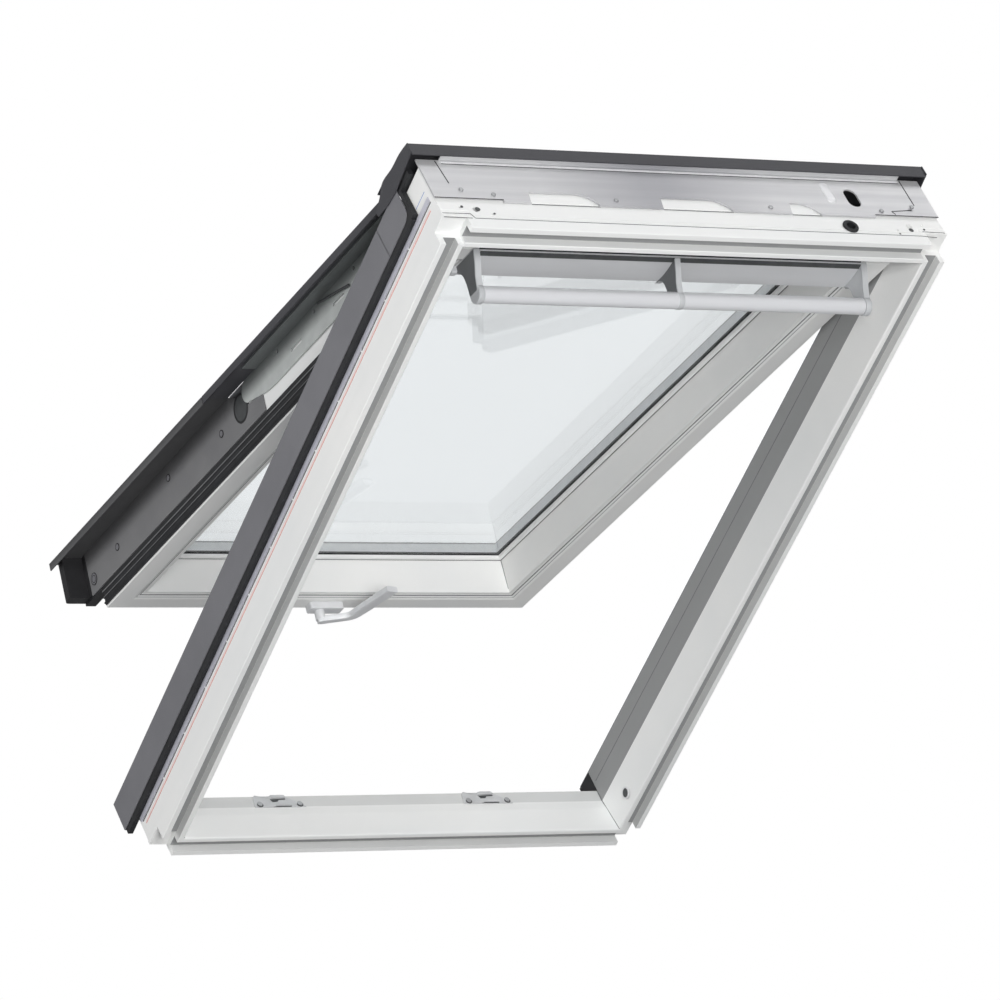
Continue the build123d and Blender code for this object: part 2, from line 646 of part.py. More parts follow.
def make_strikers():
    """Two strikers on the sill, each a plate with a hook and a wedge, and their screws."""
    pieces = {}
    screws = []
    face = SILL_FACE + SEAT
    top = face + STRIKER_THICK
    out = top + STRIKER_HOOK_OUT
    for name, share in zip(("left", "right"), STRIKER_SHARES):
        x = HALF_WIDTH * share
        ends = (x - STRIKER_LENGTH / 2, x + STRIKER_LENGTH / 2)
        edge = [(ends[0], STRIKER_LOW), (ends[1], STRIKER_LOW)]
        edge += [(ends[1], STRIKER_HIGH), (ends[0], STRIKER_HIGH)]
        plate = along(outline(edge, ((2, STRIKER_ROUND), (3, STRIKER_ROUND))), face, top)
        hook_low = STRIKER_HIGH - STRIKER_HOOK_HEIGHT
        hook_x = (x - STRIKER_HOOK / 2, x + STRIKER_HOOK / 2)
        hook = block(hook_x, (top, out), (hook_low, STRIKER_HIGH))
        hook = fillet(hook.edges().filter_by(Axis.Y), STRIKER_HOOK_OUT)
        start = x - STRIKER_HOOK
        rise = STRIKER_LOW + STRIKER_WEDGE_RISE
        wedge = [(start, STRIKER_LOW), (start + STRIKER_WEDGE, STRIKER_LOW)]
        wedge += [(start + STRIKER_WEDGE / 2, rise), (start, rise)]
        pieces["striker_" + name] = plate + hook + along(outline(wedge), top, out)
        for sign in (1, -1):
            limits = (top + SEAT, top + SEAT + STRIKER_SCREW_HEAD)
            screws.append(post(STRIKER_SCREW_R, x + sign * STRIKER_SCREW_X, limits, STRIKER_SCREW_LEVEL))
    pieces["striker_screws"] = Compound(children=screws)
    return pieces


def make_arm():
    """Left lift arm, a pressed web with an eye at each end and an outward flange, and the sheet over it."""
    inner = SASH_HALF + ARM_GAP
    outer = inner + ARM_THICK
    high = FLANGE_HIGH - SHEET - SEAT
    flange = (PIVOT_UP + ARM_FLANGE_TOE, HINGE_UP - ARM_FLANGE_HEEL)
    web = [(PIVOT_UP, PIVOT_LEVEL - PIVOT_EYE_R), (PIVOT_UP + ARM_TOE, ARM_LOW)]
    web += [(HINGE_UP - ARM_HEEL, ARM_LOW)]
    web += [(HINGE_UP, HINGE_LEVEL - HINGE_EYE_R), (HINGE_UP, HINGE_LEVEL + HINGE_EYE_R)]
    web += [(HINGE_UP - ARM_NECK_END, ARM_NECK_LEVEL), (HINGE_UP - ARM_NECK_START, ARM_NECK_LEVEL)]
    web += [(flange[1], high), (flange[0], high), (PIVOT_UP, PIVOT_LEVEL + PIVOT_EYE_R)]
    arm = across(outline(web, ((1, ARM_ROUND), (2, ARM_ROUND))), inner, outer)
    arm += rod(PIVOT_EYE_R, (inner, outer), PIVOT_UP, PIVOT_LEVEL)
    arm += rod(HINGE_EYE_R, (inner, outer), HINGE_UP, HINGE_LEVEL)
    arm += block((inner, outer + ARM_FLANGE), flange, (high - ARM_THICK, high))
    through = (inner - OVERRUN, outer + OVERRUN)
    arm -= rod(PIVOT_PIN_R + RUNNING_FIT, through, PIVOT_UP, PIVOT_LEVEL)
    arm -= rod(HINGE_PIN_R + RUNNING_FIT, through, HINGE_UP, HINGE_LEVEL)
    box = ((PIVOT_UP, ARM_LOW), (ARM_REACH, high - ARM_LOW))
    for up, level in scaled(ARM_SLOT_SHARES, *box):
        arm -= across(Pos(up, level) * SlotOverall(ARM_SLOT_LENGTH, ARM_SLOT_WIDTH), *through)
    for up, level in scaled(ARM_HOLE_SHARES, *box):
        arm -= rod(ARM_HOLE_R, through, up, level)
    bend = FLANGE_OUT - SHEET
    low = FLANGE_HIGH - SHEET
    lip = FLANGE_HIGH - FLANGE_LIP
    cover = [(outer + SEAT, low), (bend, low), (bend, lip)]
    cover += [(FLANGE_OUT, lip), (FLANGE_OUT, FLANGE_HIGH), (outer + SEAT, FLANGE_HIGH)]
    cover = along(outline(cover), PIVOT_UP - SPLIT + SPLIT_GAP, HINGE_UP - COVER_SHORT)
    return {"arm": arm, "arm_cover": cover}


def make_hinge():
    """Left hinge bracket, let into the frame side, and the two pins that the arms turn on."""
    inner = HALF_WIDTH - REBATE + SEAT
    outer = inner + BRACKET_THICK
    plate = [(HINGE_UP - BRACKET_HALF, BRACKET_LOW), (HINGE_UP + BRACKET_HALF, BRACKET_LOW)]
    plate += [(HINGE_UP + BRACKET_HALF, SIDE_HEIGHT), (HINGE_UP + BRACKET_NECK, HINGE_LEVEL)]
    plate += [(HINGE_UP - BRACKET_NECK, HINGE_LEVEL), (HINGE_UP - BRACKET_HALF, SIDE_HEIGHT)]
    bracket = across(outline(plate), inner, outer)
    bracket += rod(HINGE_EYE_R, (inner, outer), HINGE_UP, HINGE_LEVEL)
    bracket -= rod(HINGE_PIN_R, (inner - OVERRUN, outer + OVERRUN), HINGE_UP, HINGE_LEVEL)
    pin = rod(HINGE_PIN_R, (SASH_HALF + ARM_GAP, outer), HINGE_UP, HINGE_LEVEL)
    return {"hinge_bracket": bracket}, {"hinge_pins": both(pin)}


def sash_section():
    """Room face, chamfer, shadow groove, reveal and glass seat of a sash member."""
    start = SASH_FACE + SASH_CHAMFER
    level = SASH_LEVEL + SASH_CHAMFER_RISE
    floor = level + SASH_GROOVE_DEPTH
    seat = GLASS_LEVEL - SEAT
    points = [(0, SASH_LEVEL), (SASH_FACE, SASH_LEVEL), (start, level), (start, floor)]
    points += [(start + SASH_GROOVE, floor), (start + SASH_GROOVE, level), (SASH_REVEAL, level)]
    points += [(REVEAL_TOP, seat), (GLASS_SEAT, seat), (GLASS_SEAT, SASH_TOP), (0, SASH_TOP)]
    return outline(points, ((0, EDGE_ROUND), (1, EDGE_ROUND)))


def make_sash():
    """The four white sash members, bored for the pivot pins and their cups."""
    members = even_ring(sash_section(), SASH_HALF, SASH_LOW, SASH_HIGH, REVEAL_TOP)
    bore = rod(PIVOT_PIN_R, (SASH_HALF - PIVOT_PIN_DEPTH, SASH_HALF + OVERRUN), PIVOT_UP, PIVOT_LEVEL)
    recess = (SASH_HALF - CUP_DEPTH - SEAT, SASH_HALF + OVERRUN)
    bore += rod(CUP_R + SEAT, recess, PIVOT_UP - CUP_DROP, CUP_LEVEL)
    members["left"] -= bore
    members["right"] -= flipped(bore)
    return {"sash_" + name: members[name] for name in SIDES}


def make_pivots():
    """Pins that the sash turns on in its arms, and the dark cups below them."""
    tip = SASH_HALF + ARM_GAP + ARM_THICK
    pin = rod(PIVOT_PIN_R, (SASH_HALF - PIVOT_PIN_DEPTH, tip), PIVOT_UP, PIVOT_LEVEL)
    cup_up = PIVOT_UP - CUP_DROP
    cup = rod(CUP_R, (SASH_HALF - CUP_DEPTH, SASH_HALF + SEAT), cup_up, CUP_LEVEL)
    cup -= rod(CUP_RECESS_R, (SASH_HALF - CUP_DEPTH + CUP_FLOOR, SASH_HALF + OVERRUN), cup_up, CUP_LEVEL)
    return {"pivot_pins": both(pin), "pivot_cups": both(cup)}


def make_glass():
    """Two panes, the dark spacer between them and the white bead under the inner pane."""
    inset = GLASS_SEAT + GLASS_EDGE
    half = SASH_HALF - inset
    up = (SASH_LOW + inset, SASH_HIGH - inset)
    cavity = (GLASS_LEVEL + PANE, GLASS_LEVEL + PANE + CAVITY)
    bead = REVEAL_TOP + BEAD_GAP
    seat = GLASS_LEVEL - SEAT
    spacer = (half - SPACER_INSET, up[0] + SPACER_INSET, up[1] - SPACER_INSET, SPACER_WIDTH)
    bead = (SASH_HALF - bead, SASH_LOW + bead, SASH_HIGH - bead, BEAD_WIDTH)
    return {
        "glass_inner": block((-half, half), up, (GLASS_LEVEL, cavity[0])),
        "glass_outer": block((-half, half), up, (cavity[1], GLASS_TOP)),
        "glass_spacer": hoop(*spacer, cavity[0] + SEAT, cavity[1] - SEAT),
        "glazing_bead": hoop(*bead, seat - BEAD_THICK, seat),
    }


def make_sash_seal():
    """Black ridged seal on the two sides and the top of the sash, in one mitred piece."""
    reach = SEAT + SASH_SEAL_BASE + SASH_SEAL_RIDGE
    points = [(reach - SEAT, SASH_SEAL_LOW), (SASH_SEAL_RIDGE, SASH_SEAL_LOW)]
    for share in SASH_SEAL_RIDGE_SHARES:
        level = SASH_SEAL_LOW + share * (SASH_SEAL_HIGH - SASH_SEAL_LOW)
        points.append((SASH_SEAL_RIDGE, level - SASH_SEAL_RIDGE_HALF))
        points.append((0, level))
        points.append((SASH_SEAL_RIDGE, level + SASH_SEAL_RIDGE_HALF))
    points += [(SASH_SEAL_RIDGE, SASH_SEAL_HIGH), (reach - SEAT, SASH_SEAL_HIGH)]
    members = even_ring(outline(points), SASH_HALF + reach, SASH_LOW, SASH_HIGH + reach, reach)
    return {"sash_seal": members["left"] + members["top"] + members["right"]}


def make_sash_cladding():
    """Sloping glass cladding all round, lower side sheets with lips, and the overhanging bottom sheet."""
    low = FLANGE_HIGH - SHEET
    pane = GLASS_TOP + SEAT
    sheet = outline([(SEAT, FLANGE_HIGH), (SEAT, low), (SLOPE, pane), (SLOPE, pane + SHEET)])
    slopes = even_ring(sheet, SASH_HALF, SASH_LOW, FRAME_LENGTH, SLOPE)
    split = PIVOT_UP - SPLIT
    slope = slopes["left"]
    lower = slope & block((0, HALF_WIDTH), (SASH_LOW, split), (0, FLANGE_HIGH))
    upper = slope & block((0, HALF_WIDTH), (split + SPLIT_GAP, TRIM_END), (0, FLANGE_HIGH))
    inner = SASH_HALF + SEAT
    outer = inner + FACE_THICK
    bend = FLANGE_OUT - SHEET
    lip = FLANGE_HIGH - FLANGE_LIP
    half = SASH_HALF - SEAT
    flange = [(half, low), (inner, low), (inner, FACE_LOW), (outer, FACE_LOW), (outer, low), (bend, low)]
    flange += [(bend, lip), (FLANGE_OUT, lip), (FLANGE_OUT, FLANGE_HIGH), (half, FLANGE_HIGH)]
    flange = along(outline(flange), FLANGE_LOW_END, split)
    flange -= block((0, outer + SEAT), (FLANGE_LOW_END - OVERRUN, FACE_START), (0, low))
    flange -= block((0, SASH_HALF), (FLANGE_LOW_END - OVERRUN, SASH_LOW + SEAT), (0, FLANGE_HIGH + OVERRUN))
    ends = [(SASH_HALF - SLOPE, pane), (half, pane), (half, FLANGE_HIGH), (SASH_HALF - SLOPE, pane + SHEET)]
    upper += along(outline(ends), TRIM_END - SHEET, TRIM_END)
    drop = [(FLANGE_LOW_END, lip), (FLANGE_LOW_END + SHEET, lip), (FLANGE_LOW_END + SHEET, low)]
    drop += [(SASH_LOW + SEAT, low), (SASH_LOW + SEAT, FLANGE_HIGH), (FLANGE_LOW_END, FLANGE_HIGH)]
    bottom = slopes["bottom"] + across(outline(drop), -half, half)
    cap = block((-half, half), (TRIM_END + SEAT, SASH_HIGH), (pane, pane + SHEET))
    sides = {"sash_cladding": lower + flange, "sash_trim": upper}
    return sides, {"sash_bottom_cladding": bottom, "sash_top_cladding": cap}


def make_cladding_fittings():
    """Hollow black end cap on the lower end of the side sheet, and the screws and plug in its face."""
    inner = SASH_HALF + SEAT
    face = inner + FACE_THICK
    edge = [(inner, END_CAP_START), (END_CAP_OUT, END_CAP_START)]
    edge += [(END_CAP_OUT, END_CAP_END), (inner, END_CAP_END)]
    cap = upright(outline(edge, ((1, END_CAP_ROUND),)), END_CAP_LOW, END_CAP_HIGH)
    hollow = block(
        (inner + END_CAP_WALL, END_CAP_OUT - END_CAP_WALL),
        (END_CAP_START + END_CAP_ROUND, END_CAP_END + OVERRUN),
        (END_CAP_LOW + END_CAP_WALL, END_CAP_HIGH - END_CAP_WALL),
    )
    cap -= hollow
    tongue = block((inner, face), (END_CAP_END - OVERRUN, FACE_START - SEAT), (END_CAP_LOW, END_CAP_HIGH))
    screws = []
    seat = (face + SEAT, face + SEAT + CLAD_SCREW_HEAD)
    corner = (FACE_START, FACE_LOW)
    size = (PIVOT_UP - SPLIT - FACE_START, FLANGE_HIGH - SHEET - FACE_LOW)
    for up, level in scaled(CLAD_SCREW_SHARES, corner, size):
        screws.append(rod(CLAD_SCREW_R, seat, up, level))
    for up, level in scaled((CLAD_PLUG_SHARES,), corner, size):
        screws.append(rod(CLAD_PLUG_R, seat, up, level))
    screws += [flipped(screw) for screw in screws]
    return {"end_cap": cap + tongue}, {"cladding_screws": Compound(children=screws)}


def make_handle():
    """Handle base on the bottom of the sash, and its cranked lever on a spindle."""
    base_x = (-HANDLE_BASE_LENGTH / 2 - HANDLE_BASE_SHIFT, HANDLE_BASE_LENGTH / 2 - HANDLE_BASE_SHIFT)
    base_up = (HANDLE_UP - HANDLE_BASE_DEPTH / 2, HANDLE_UP + HANDLE_BASE_DEPTH / 2)
    base = block(base_x, base_up, (HANDLE_BASE_LEVEL, SASH_LEVEL - SEAT))
    base = fillet(base.edges().filter_by(Axis.Z), HANDLE_BASE_ROUND)
    base = fillet(base.edges().group_by(Axis.Z)[0], EDGE_ROUND)
    spot = Pos(HANDLE_X, HANDLE_UP)
    bore_top = HANDLE_BASE_LEVEL + HANDLE_SPINDLE
    bore = spot * Circle(HANDLE_SPINDLE_R + RUNNING_FIT)
    base -= upright(bore, HANDLE_BASE_LEVEL - OVERRUN, bore_top + SEAT)
    top = HANDLE_LEVEL + HANDLE_THICK
    lever = None
    elbow = (HANDLE_X - HANDLE_ELBOW_ACROSS, HANDLE_UP + HANDLE_ELBOW_RISE)
    tip = (HANDLE_X - HANDLE_END_ACROSS, HANDLE_UP + HANDLE_END_RISE)
    path = ((HANDLE_X, HANDLE_UP), elbow, tip)
    for (x0, y0), (x1, y1) in zip(path[:-1], path[1:]):
        lean = degrees(atan2(y1 - y0, x1 - x0))
        limb = SlotCenterToCenter(hypot(x1 - x0, y1 - y0), HANDLE_WIDTH, rotation=lean)
        limb = Pos((x0 + x1) / 2, (y0 + y1) / 2) * limb
        lever = limb if lever is None else lever + limb
    lever = upright(lever, HANDLE_LEVEL, top)
    lever = fillet(lever.edges().group_by(Axis.Z)[0], HANDLE_ROUND)
    lever += upright(spot * Circle(HANDLE_HUB_R), top - HANDLE_ROUND, HANDLE_BASE_LEVEL - SEAT)
    lever += upright(spot * Circle(HANDLE_SPINDLE_R), top, bore_top)
    return {"handle_base": base}, {"handle_lever": lever}


def make_vent():
    """Ventilation flap, control bar on three brackets, and the knuckles that carry them."""
    half = BAR_HALF + SEAT
    corner = (SASH_HIGH - BRACKET_IN, BAR_LEVEL)
    size = (BRACKET_LONG, SASH_LEVEL - 2 * SEAT - BAR_LEVEL)
    rounds = [(index, END_BRACKET_ROUND) for index in (2, 6, 7)]
    bracket = across(outline(scaled(END_BRACKET_SHARES, corner, size), rounds), half, half + END_BRACKET)
    bracket += rod(BAR_R + BAR_COLLAR, (half, half + END_BRACKET), BAR_UP, BAR_LEVEL)
    bracket += rod(VENT_EYE_R, (half, half + END_BRACKET), VENT_UP, VENT_LEVEL)
    bracket += rod(VENT_PIN_R, (half, half + END_BRACKET + VENT_PIN), VENT_UP, VENT_LEVEL)
    start = half + END_BRACKET + SEAT
    knuckle_up = (VENT_UP - KNUCKLE_HALF, VENT_UP + KNUCKLE_HALF)
    knuckle = block((start, start + KNUCKLE), knuckle_up, (KNUCKLE_LOW, SASH_LEVEL - SEAT))
    knuckle = fillet(knuckle.edges().filter_by(Axis.X).group_by(Axis.Z)[0], KNUCKLE_HALF / 2)
    knuckle -= rod(VENT_PIN_R + RUNNING_FIT, (start - OVERRUN, start + VENT_PIN), VENT_UP, VENT_LEVEL)
    bar = rod(BAR_R, (-BAR_HALF, BAR_HALF), BAR_UP, BAR_LEVEL)
    bar -= rod(BAR_R - BAR_WALL, (-half - OVERRUN, half + OVERRUN), BAR_UP, BAR_LEVEL)
    middle_x = (-MIDDLE_SHIFT - MIDDLE_BRACKET / 2, MIDDLE_BRACKET / 2 - MIDDLE_SHIFT)
    middle = across(outline(scaled(MIDDLE_BRACKET_SHARES, corner, size)), *middle_x)
    middle += rod(BAR_R + BAR_COLLAR, middle_x, BAR_UP, BAR_LEVEL)
    middle -= rod(BAR_R + SEAT, (middle_x[0] - OVERRUN, middle_x[1] + OVERRUN), BAR_UP, BAR_LEVEL)
    face = scaled(FLAP_SHARES, corner, size)
    back = [(up - FLAP_THICK, level) for up, level in face]
    edges = [ThreePointArc(*face), Line(face[-1], back[-1]), ThreePointArc(*back), Line(back[0], face[0])]
    flap = make_face(edges)
    vent = {"vent_flap": across(flap, -BAR_HALF, BAR_HALF), "control_bar": bar, "bar_bracket_middle": middle}
    return {"bar_bracket": bracket}, vent, {"vent_knuckles": both(knuckle)}


nodes = {}


def add(body, pieces, paired=False):
    """File pieces under a body; paired pieces become a left and a right node."""
    for name, shape in pieces.items():
        if paired:
            nodes[name + "_left"] = (body, shape)
            nodes[name + "_right"] = (body, flipped(shape))
        else:
            nodes[name] = (body, shape)


add("frame", make_frame())
add("frame", make_bushings())
add("frame", make_frame_side(), paired=True)
add("frame", make_sill_cladding())
hood_pieces = make_hood()
add("frame", {"hood": hood_pieces["hood"]})
add("frame", {"hood_end": hood_pieces["hood_end"]}, paired=True)
add("frame", make_top_plate())
add("frame", make_strikers())
hinge_brackets, hinge_pins = make_hinge()
add("frame", hinge_brackets, paired=True)
add("frame", hinge_pins)
add("arms", make_arm(), paired=True)
add("sash", make_sash())
add("sash", make_pivots())
add("sash", make_glass())
add("sash", make_sash_seal())
side_sheets, end_sheets = make_sash_cladding()
add("sash", side_sheets, paired=True)
add("sash", end_sheets)
end_caps, face_screws = make_cladding_fittings()
add("sash", end_caps, paired=True)
add("sash", face_screws)
handle_base, handle_lever = make_handle()
add("sash", handle_base)
add("handle", handle_lever)
end_brackets, vent_pieces, knuckles = make_vent()
add("vent", end_brackets, paired=True)
add("vent", vent_pieces)
add("sash", knuckles)

OPENED = Pos(0, HINGE_UP, HINGE_LEVEL) * Rot(-OPEN_ANGLE, 0, 0) * Pos(0, -HINGE_UP, -HINGE_LEVEL)
INSTALLED = Rot(0, 0, 180) * Rot(ROOF_PITCH, 0, 0) * Pos(0, 0, -ORIGIN_LEVEL)

for name, (body, shape) in nodes.items():
    place = INSTALLED if body == "frame" else INSTALLED * OPENED
    export_step(place * shape, "parts/" + name + ".step")
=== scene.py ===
"""Open roof window at its roof pitch: finishes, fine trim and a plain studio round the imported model."""
import json
import math

import bmesh
import bpy
import numpy as np
from bpy.props import FloatProperty, FloatVectorProperty, PointerProperty
from bpy.types import Operator, Panel, PropertyGroup
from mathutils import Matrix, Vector


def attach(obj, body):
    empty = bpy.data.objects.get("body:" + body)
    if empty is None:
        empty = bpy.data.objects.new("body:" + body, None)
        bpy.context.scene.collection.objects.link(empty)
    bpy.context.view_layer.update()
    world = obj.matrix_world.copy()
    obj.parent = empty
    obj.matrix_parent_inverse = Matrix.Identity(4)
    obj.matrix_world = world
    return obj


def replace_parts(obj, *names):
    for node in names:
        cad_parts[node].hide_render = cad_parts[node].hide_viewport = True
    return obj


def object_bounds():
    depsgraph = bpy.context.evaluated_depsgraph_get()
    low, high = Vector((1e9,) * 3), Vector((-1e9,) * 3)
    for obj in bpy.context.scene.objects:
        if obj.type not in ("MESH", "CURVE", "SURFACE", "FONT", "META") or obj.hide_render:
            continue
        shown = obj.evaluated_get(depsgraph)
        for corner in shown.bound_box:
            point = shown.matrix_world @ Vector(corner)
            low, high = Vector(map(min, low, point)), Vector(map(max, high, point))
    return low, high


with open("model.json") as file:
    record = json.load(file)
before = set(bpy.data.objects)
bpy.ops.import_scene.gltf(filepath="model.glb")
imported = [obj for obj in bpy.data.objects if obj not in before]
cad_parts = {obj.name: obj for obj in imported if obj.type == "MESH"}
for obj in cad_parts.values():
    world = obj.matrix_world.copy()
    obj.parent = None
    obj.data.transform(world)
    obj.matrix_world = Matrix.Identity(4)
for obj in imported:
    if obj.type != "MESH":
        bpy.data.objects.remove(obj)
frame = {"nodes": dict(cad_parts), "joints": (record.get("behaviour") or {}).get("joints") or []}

bl_info = {
    "name": "Roof Window Finisher",
    "version": (1, 0, 0),
    "blender": (4, 5, 0),
    "location": "3D View > Sidebar > Roof Window",
    "description": "Gives the packed roof window its finishes, seals, screws and studio light",
    "category": "Object",
}

CAD_BOX = [list(corner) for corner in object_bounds()]
MM = 0.001
JOINTS = {joint["name"]: joint for joint in frame["joints"]}

# Window sizes in millimetres: x to the right, u up the slope, n outward from the room side.
ACROSS, ALONG, OUT = np.eye(3)
SIDES = (("left", -1), ("right", 1))
PITCH = math.radians(45.0)
OPEN = math.radians(-JOINTS["top_hinge"]["range_deg"][0])
ORIGIN_LEVEL = 14.25
HINGE_UP, HINGE_LEVEL = 1110.0, 130.0
# Frame: outline, rebate and top of its splay, lining groove, sill face, side step, bolt bore and strikers.
HALF_WIDTH, LENGTH = 390.0, 1178.0
REBATE, SPLAY_TOP = 40.0, 57.5
GROOVE, GROOVE_TOP = (8.35, 26.45), 13.1
SILL_FACE, SIDE_STEP = 34.0, 0.8
BOLT = (89.0, 22.0)
STRIKERS = (("left", -182.1), ("right", 157.9))
# Outer trim: x of the cladding's upright leg and its levels, x of the steel strip, the seal's
# edge and the hood's ends.
CLADDING_LEG, CLADDING_LEVELS = (397.5, 399.0), (77.0, 127.0)
STRIP_FACE, SEAL_EDGE = 389.5, 397.2
HOOD_END = (399.3, 400.8)
HOOD_WAVE_SHARES = ((0.0, 0.629), (0.198, 0.786), (0.426, 0.843), (0.671, 1.0),
                    (0.840, 0.743), (1.0, 0.600))
HOOD_LOW_SHARES = ((1.0, 0.336), (0.763, 0.086), (0.560, 0.0), (0.280, 0.086), (0.0, 0.171))
# Head: the plate's outer face, boss and cable ring (x, n), cut-outs from x to x, lines (x, n) to (x, n), and
# plugs (x, n, radius). The plate's lines along n = 54 are painted shadow under its raised ends.
PLATE_TOP = LENGTH + 2.7
BOSS, CABLE, CABLE_R = (230.0, 95.0), (238.0, 30.0), 9.9
CUT_OUTS = ((-246, -142), (-45, 63), (156, 203))
PLATE_SLITS = (((-362, 126), (-358, 82)), ((360, 126), (361, 76)), ((-390, 54), (-288, 54)),
               ((288, 54), (390, 54)), ((318, 62), (352, 66)), ((318, 62), (322, 56)))
TOP_LINES = (((-389, 26.5), (-347, 27)), ((-347, 27), (-343, 18.5)), ((-389, 19), (-347, 18.5)),
             ((-343, 18.5), (346, 17)), ((352, 26), (388, 25)), ((346, 17), (370, 15)))
TOP_PLUGS = ((-332.6, 36.7, 3.6), (-354.8, 40.3, 2.0), (-310.5, 28.9, 1.6),
             (334.8, 28.2, 3.6), (313.1, 20.1, 1.6), (357.0, 30.7, 1.6))
# Sash, as it lies closed: its outline, its chamfer, x of the side sheets, the pivot's well (u, n), x of the
# rings and of the seal's lines, levels of the end caps, rings round screws (u, n, radius), and the dark bar of
# painted shadow on each arm.
SASH_HALF, SASH_LOW, SASH_HIGH = 345.5, 39.9, 1130.0
CHAMFER_START, CHAMFER, CHAMFER_FOOT, CHAMFER_RISE = 28.5, 10.5, 49.0, 4.0
SIDE_SHEET, WELL = (345.8, 347.6), (536.0, 118.0)
RING_FACE, SEAL_FACE, CAP_LEVELS = 348.3, 348.5, (84.0, 148.2)
SHEET_RINGS = ((469.8, 112, 5.0), (298.2, 129, 5.0), (112.2, 111, 5.0), (24.9, 102, 8.6), (24.9, 102, 5.4))
ARM_SHADOW_FACE, ARM_SHADOW_BAR = 351.5, ((800.0, 142.0), (888.0, 123.0))
# Handle and vent: the lever's path (x, u), the bar and the flap's axis (u, n), how far the brackets reach back
# from the sash's upper edge, their size along u and n, and walls.
LEVER_SPOT, LEVER_ELBOW, LEVER_TIP, LEVER_LEVEL = (-8.0, 52.5), (36.0, 66.0), (58.0, 158.0), 23.5
BAR, BAR_R, BAR_HALF = (1110.0, -7.5), 11.5, 296.0
VENT, VENT_BACK, VENT_SIZE = (1077.0, 44.0), 56.5, (59.5, 55.9)
BRACKET_GAP, BRACKET_WIDE, FLAP_WALL = 0.3, 9.0, 2.4
BRACKET_SHARES = ((0.0, 0.960), (0.109, 0.836), (0.319, 0.680), (0.395, 0.360), (0.412, 0.0), (0.765, 0.0),
                  (0.815, 0.364), (0.916, 0.629), (1.0, 1.0), (0.042, 1.0))
FLAP_SHARES = ((0.118, 0.800), (0.560, 0.820), (1.0, 0.930))
# Powers of the superellipse for a flat line and a soft box, and the share of a bracket that its cheek of
# painted shade takes.
FLAT, BOXY, CHEEK = 4.0, 9.0, 0.93
# Painted tones: the level n where the black butyl ends and where painted shade starts on arm and side sheet,
# its sharpest edge, a level past everything, the sill's share of painted shade, the plate's painted reflection
# from x to x and its soft edge, and the length of the waves in the glass.
SPACER_FOOT, ARM_SHADE, FOLD_SHADE = 114.9, 134.0, 136.0
SHARP, BEYOND, SILL_SHADE = 0.1, 2000.0, 0.35
CLOUD, CLOUD_SOFT = (-120.0, 40.0), 100.0
GLASS_WAVE = 60.0
# Studio, in metres: the photograph's camera, the soft boxes (place, watts, width) and the floor.
CAMERA_SPOT, CAMERA_AIM, CAMERA_LENS = (-4.1253, -7.4242, 0.3274), (0.501, 0.8652, 0.0193), 213.44
SOFT_BOXES = (("key", (-2.0, -6.2, 0.9), 270.0, 2.4), ("left", (-4.2, 0.4, 1.4), 62.0, 2.0),
              ("above_left", (0.35, -0.8, 3.1), 6.0, 1.0), ("above_right", (1.95, -0.8, 3.1), 6.0, 1.0))
LIGHT_AIM = (0, -0.4, 0.5)
FLOOR_R, FLOOR_DROP = 9.0, 0.4
# Points closer than this are one, in metres; smooth pieces keep edges sharper than this.
WELD, CREASE = 1e-6, math.radians(40)


# Finishes by short name, each filled before the pieces that take it.
MADE = {}


def linear(code):
    """Linear RGBA of an sRGB hex colour."""
    parts = [int(code[i:i + 2], 16) / 255 for i in (1, 3, 5)]
    return [c / 12.92 if c <= 0.04045 else ((c + 0.055) / 1.055) ** 2.4 for c in parts] + [1.0]


def on_frame(points):
    """Window sizes (x, u, n) to the row frame: turned by the pitch about x, then metres."""
    x, u, n = np.moveaxis(np.asarray(points, float), -1, 0)
    m = n - ORIGIN_LEVEL
    s, c = math.sin(PITCH), math.cos(PITCH)
    return np.stack([x, m * s - u * c, u * s + m * c], -1) * MM


def on_sash(points):
    """Closed sash sizes (x, u, n) turned about the hinge line by the opening angle, then as on_frame."""
    x, u, n = np.moveaxis(np.asarray(points, float), -1, 0)
    a, b = u - HINGE_UP, n - HINGE_LEVEL
    s, c = math.sin(OPEN), math.cos(OPEN)
    return on_frame(np.stack([x, HINGE_UP + a * c + b * s, HINGE_LEVEL - a * s + b * c], -1))


def grid_faces(rows, columns, wrap_rows):
    """Quads (i, j) (i+1, j) (i+1, j+1) (i, j+1) of a grid whose columns, and rows if asked, join round."""
    i, j = np.meshgrid(np.arange(rows - (not wrap_rows)), np.arange(columns), indexing="ij")
    k, m = (i + 1) % rows, (j + 1) % columns
    return np.stack([i * columns + j, k * columns + j, k * columns + m, i * columns + m], -1).reshape(-1, 4)


def skin(name, grids, material, body, wrap_rows=False, smooth=False):
    """One object from grids of points (rows, columns, 3), in a made material and on a body.

    Columns wrap round; rows wrap too, or are closed by end faces."""
    points, faces, start = [], [], 0
    for grid in grids:
        rows, columns = grid.shape[:2]
        points.append(grid.reshape(-1, 3))
        faces += (grid_faces(rows, columns, wrap_rows) + start).tolist()
        if not wrap_rows:
            faces.append((np.arange(columns) + start).tolist())
            faces.append((np.arange(columns)[::-1] + start + (rows - 1) * columns).tolist())
        start += rows * columns
    mesh = bpy.data.meshes.new(name)
    mesh.from_pydata(np.concatenate(points).tolist(), [], faces)
    shell = bmesh.new()
    shell.from_mesh(mesh)
    bmesh.ops.remove_doubles(shell, verts=shell.verts, dist=WELD)
    bmesh.ops.recalc_face_normals(shell, faces=shell.faces)
    shell.to_mesh(mesh)
    shell.free()
    mesh.polygons.foreach_set("use_smooth", np.full(len(mesh.polygons), smooth))
    if smooth:
        mesh.set_sharp_from_angle(angle=CREASE)
    mesh.materials.append(MADE[material])
    piece = bpy.data.objects.new(name, mesh)
    bpy.context.scene.collection.objects.link(piece)
    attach(piece, body)
    return piece


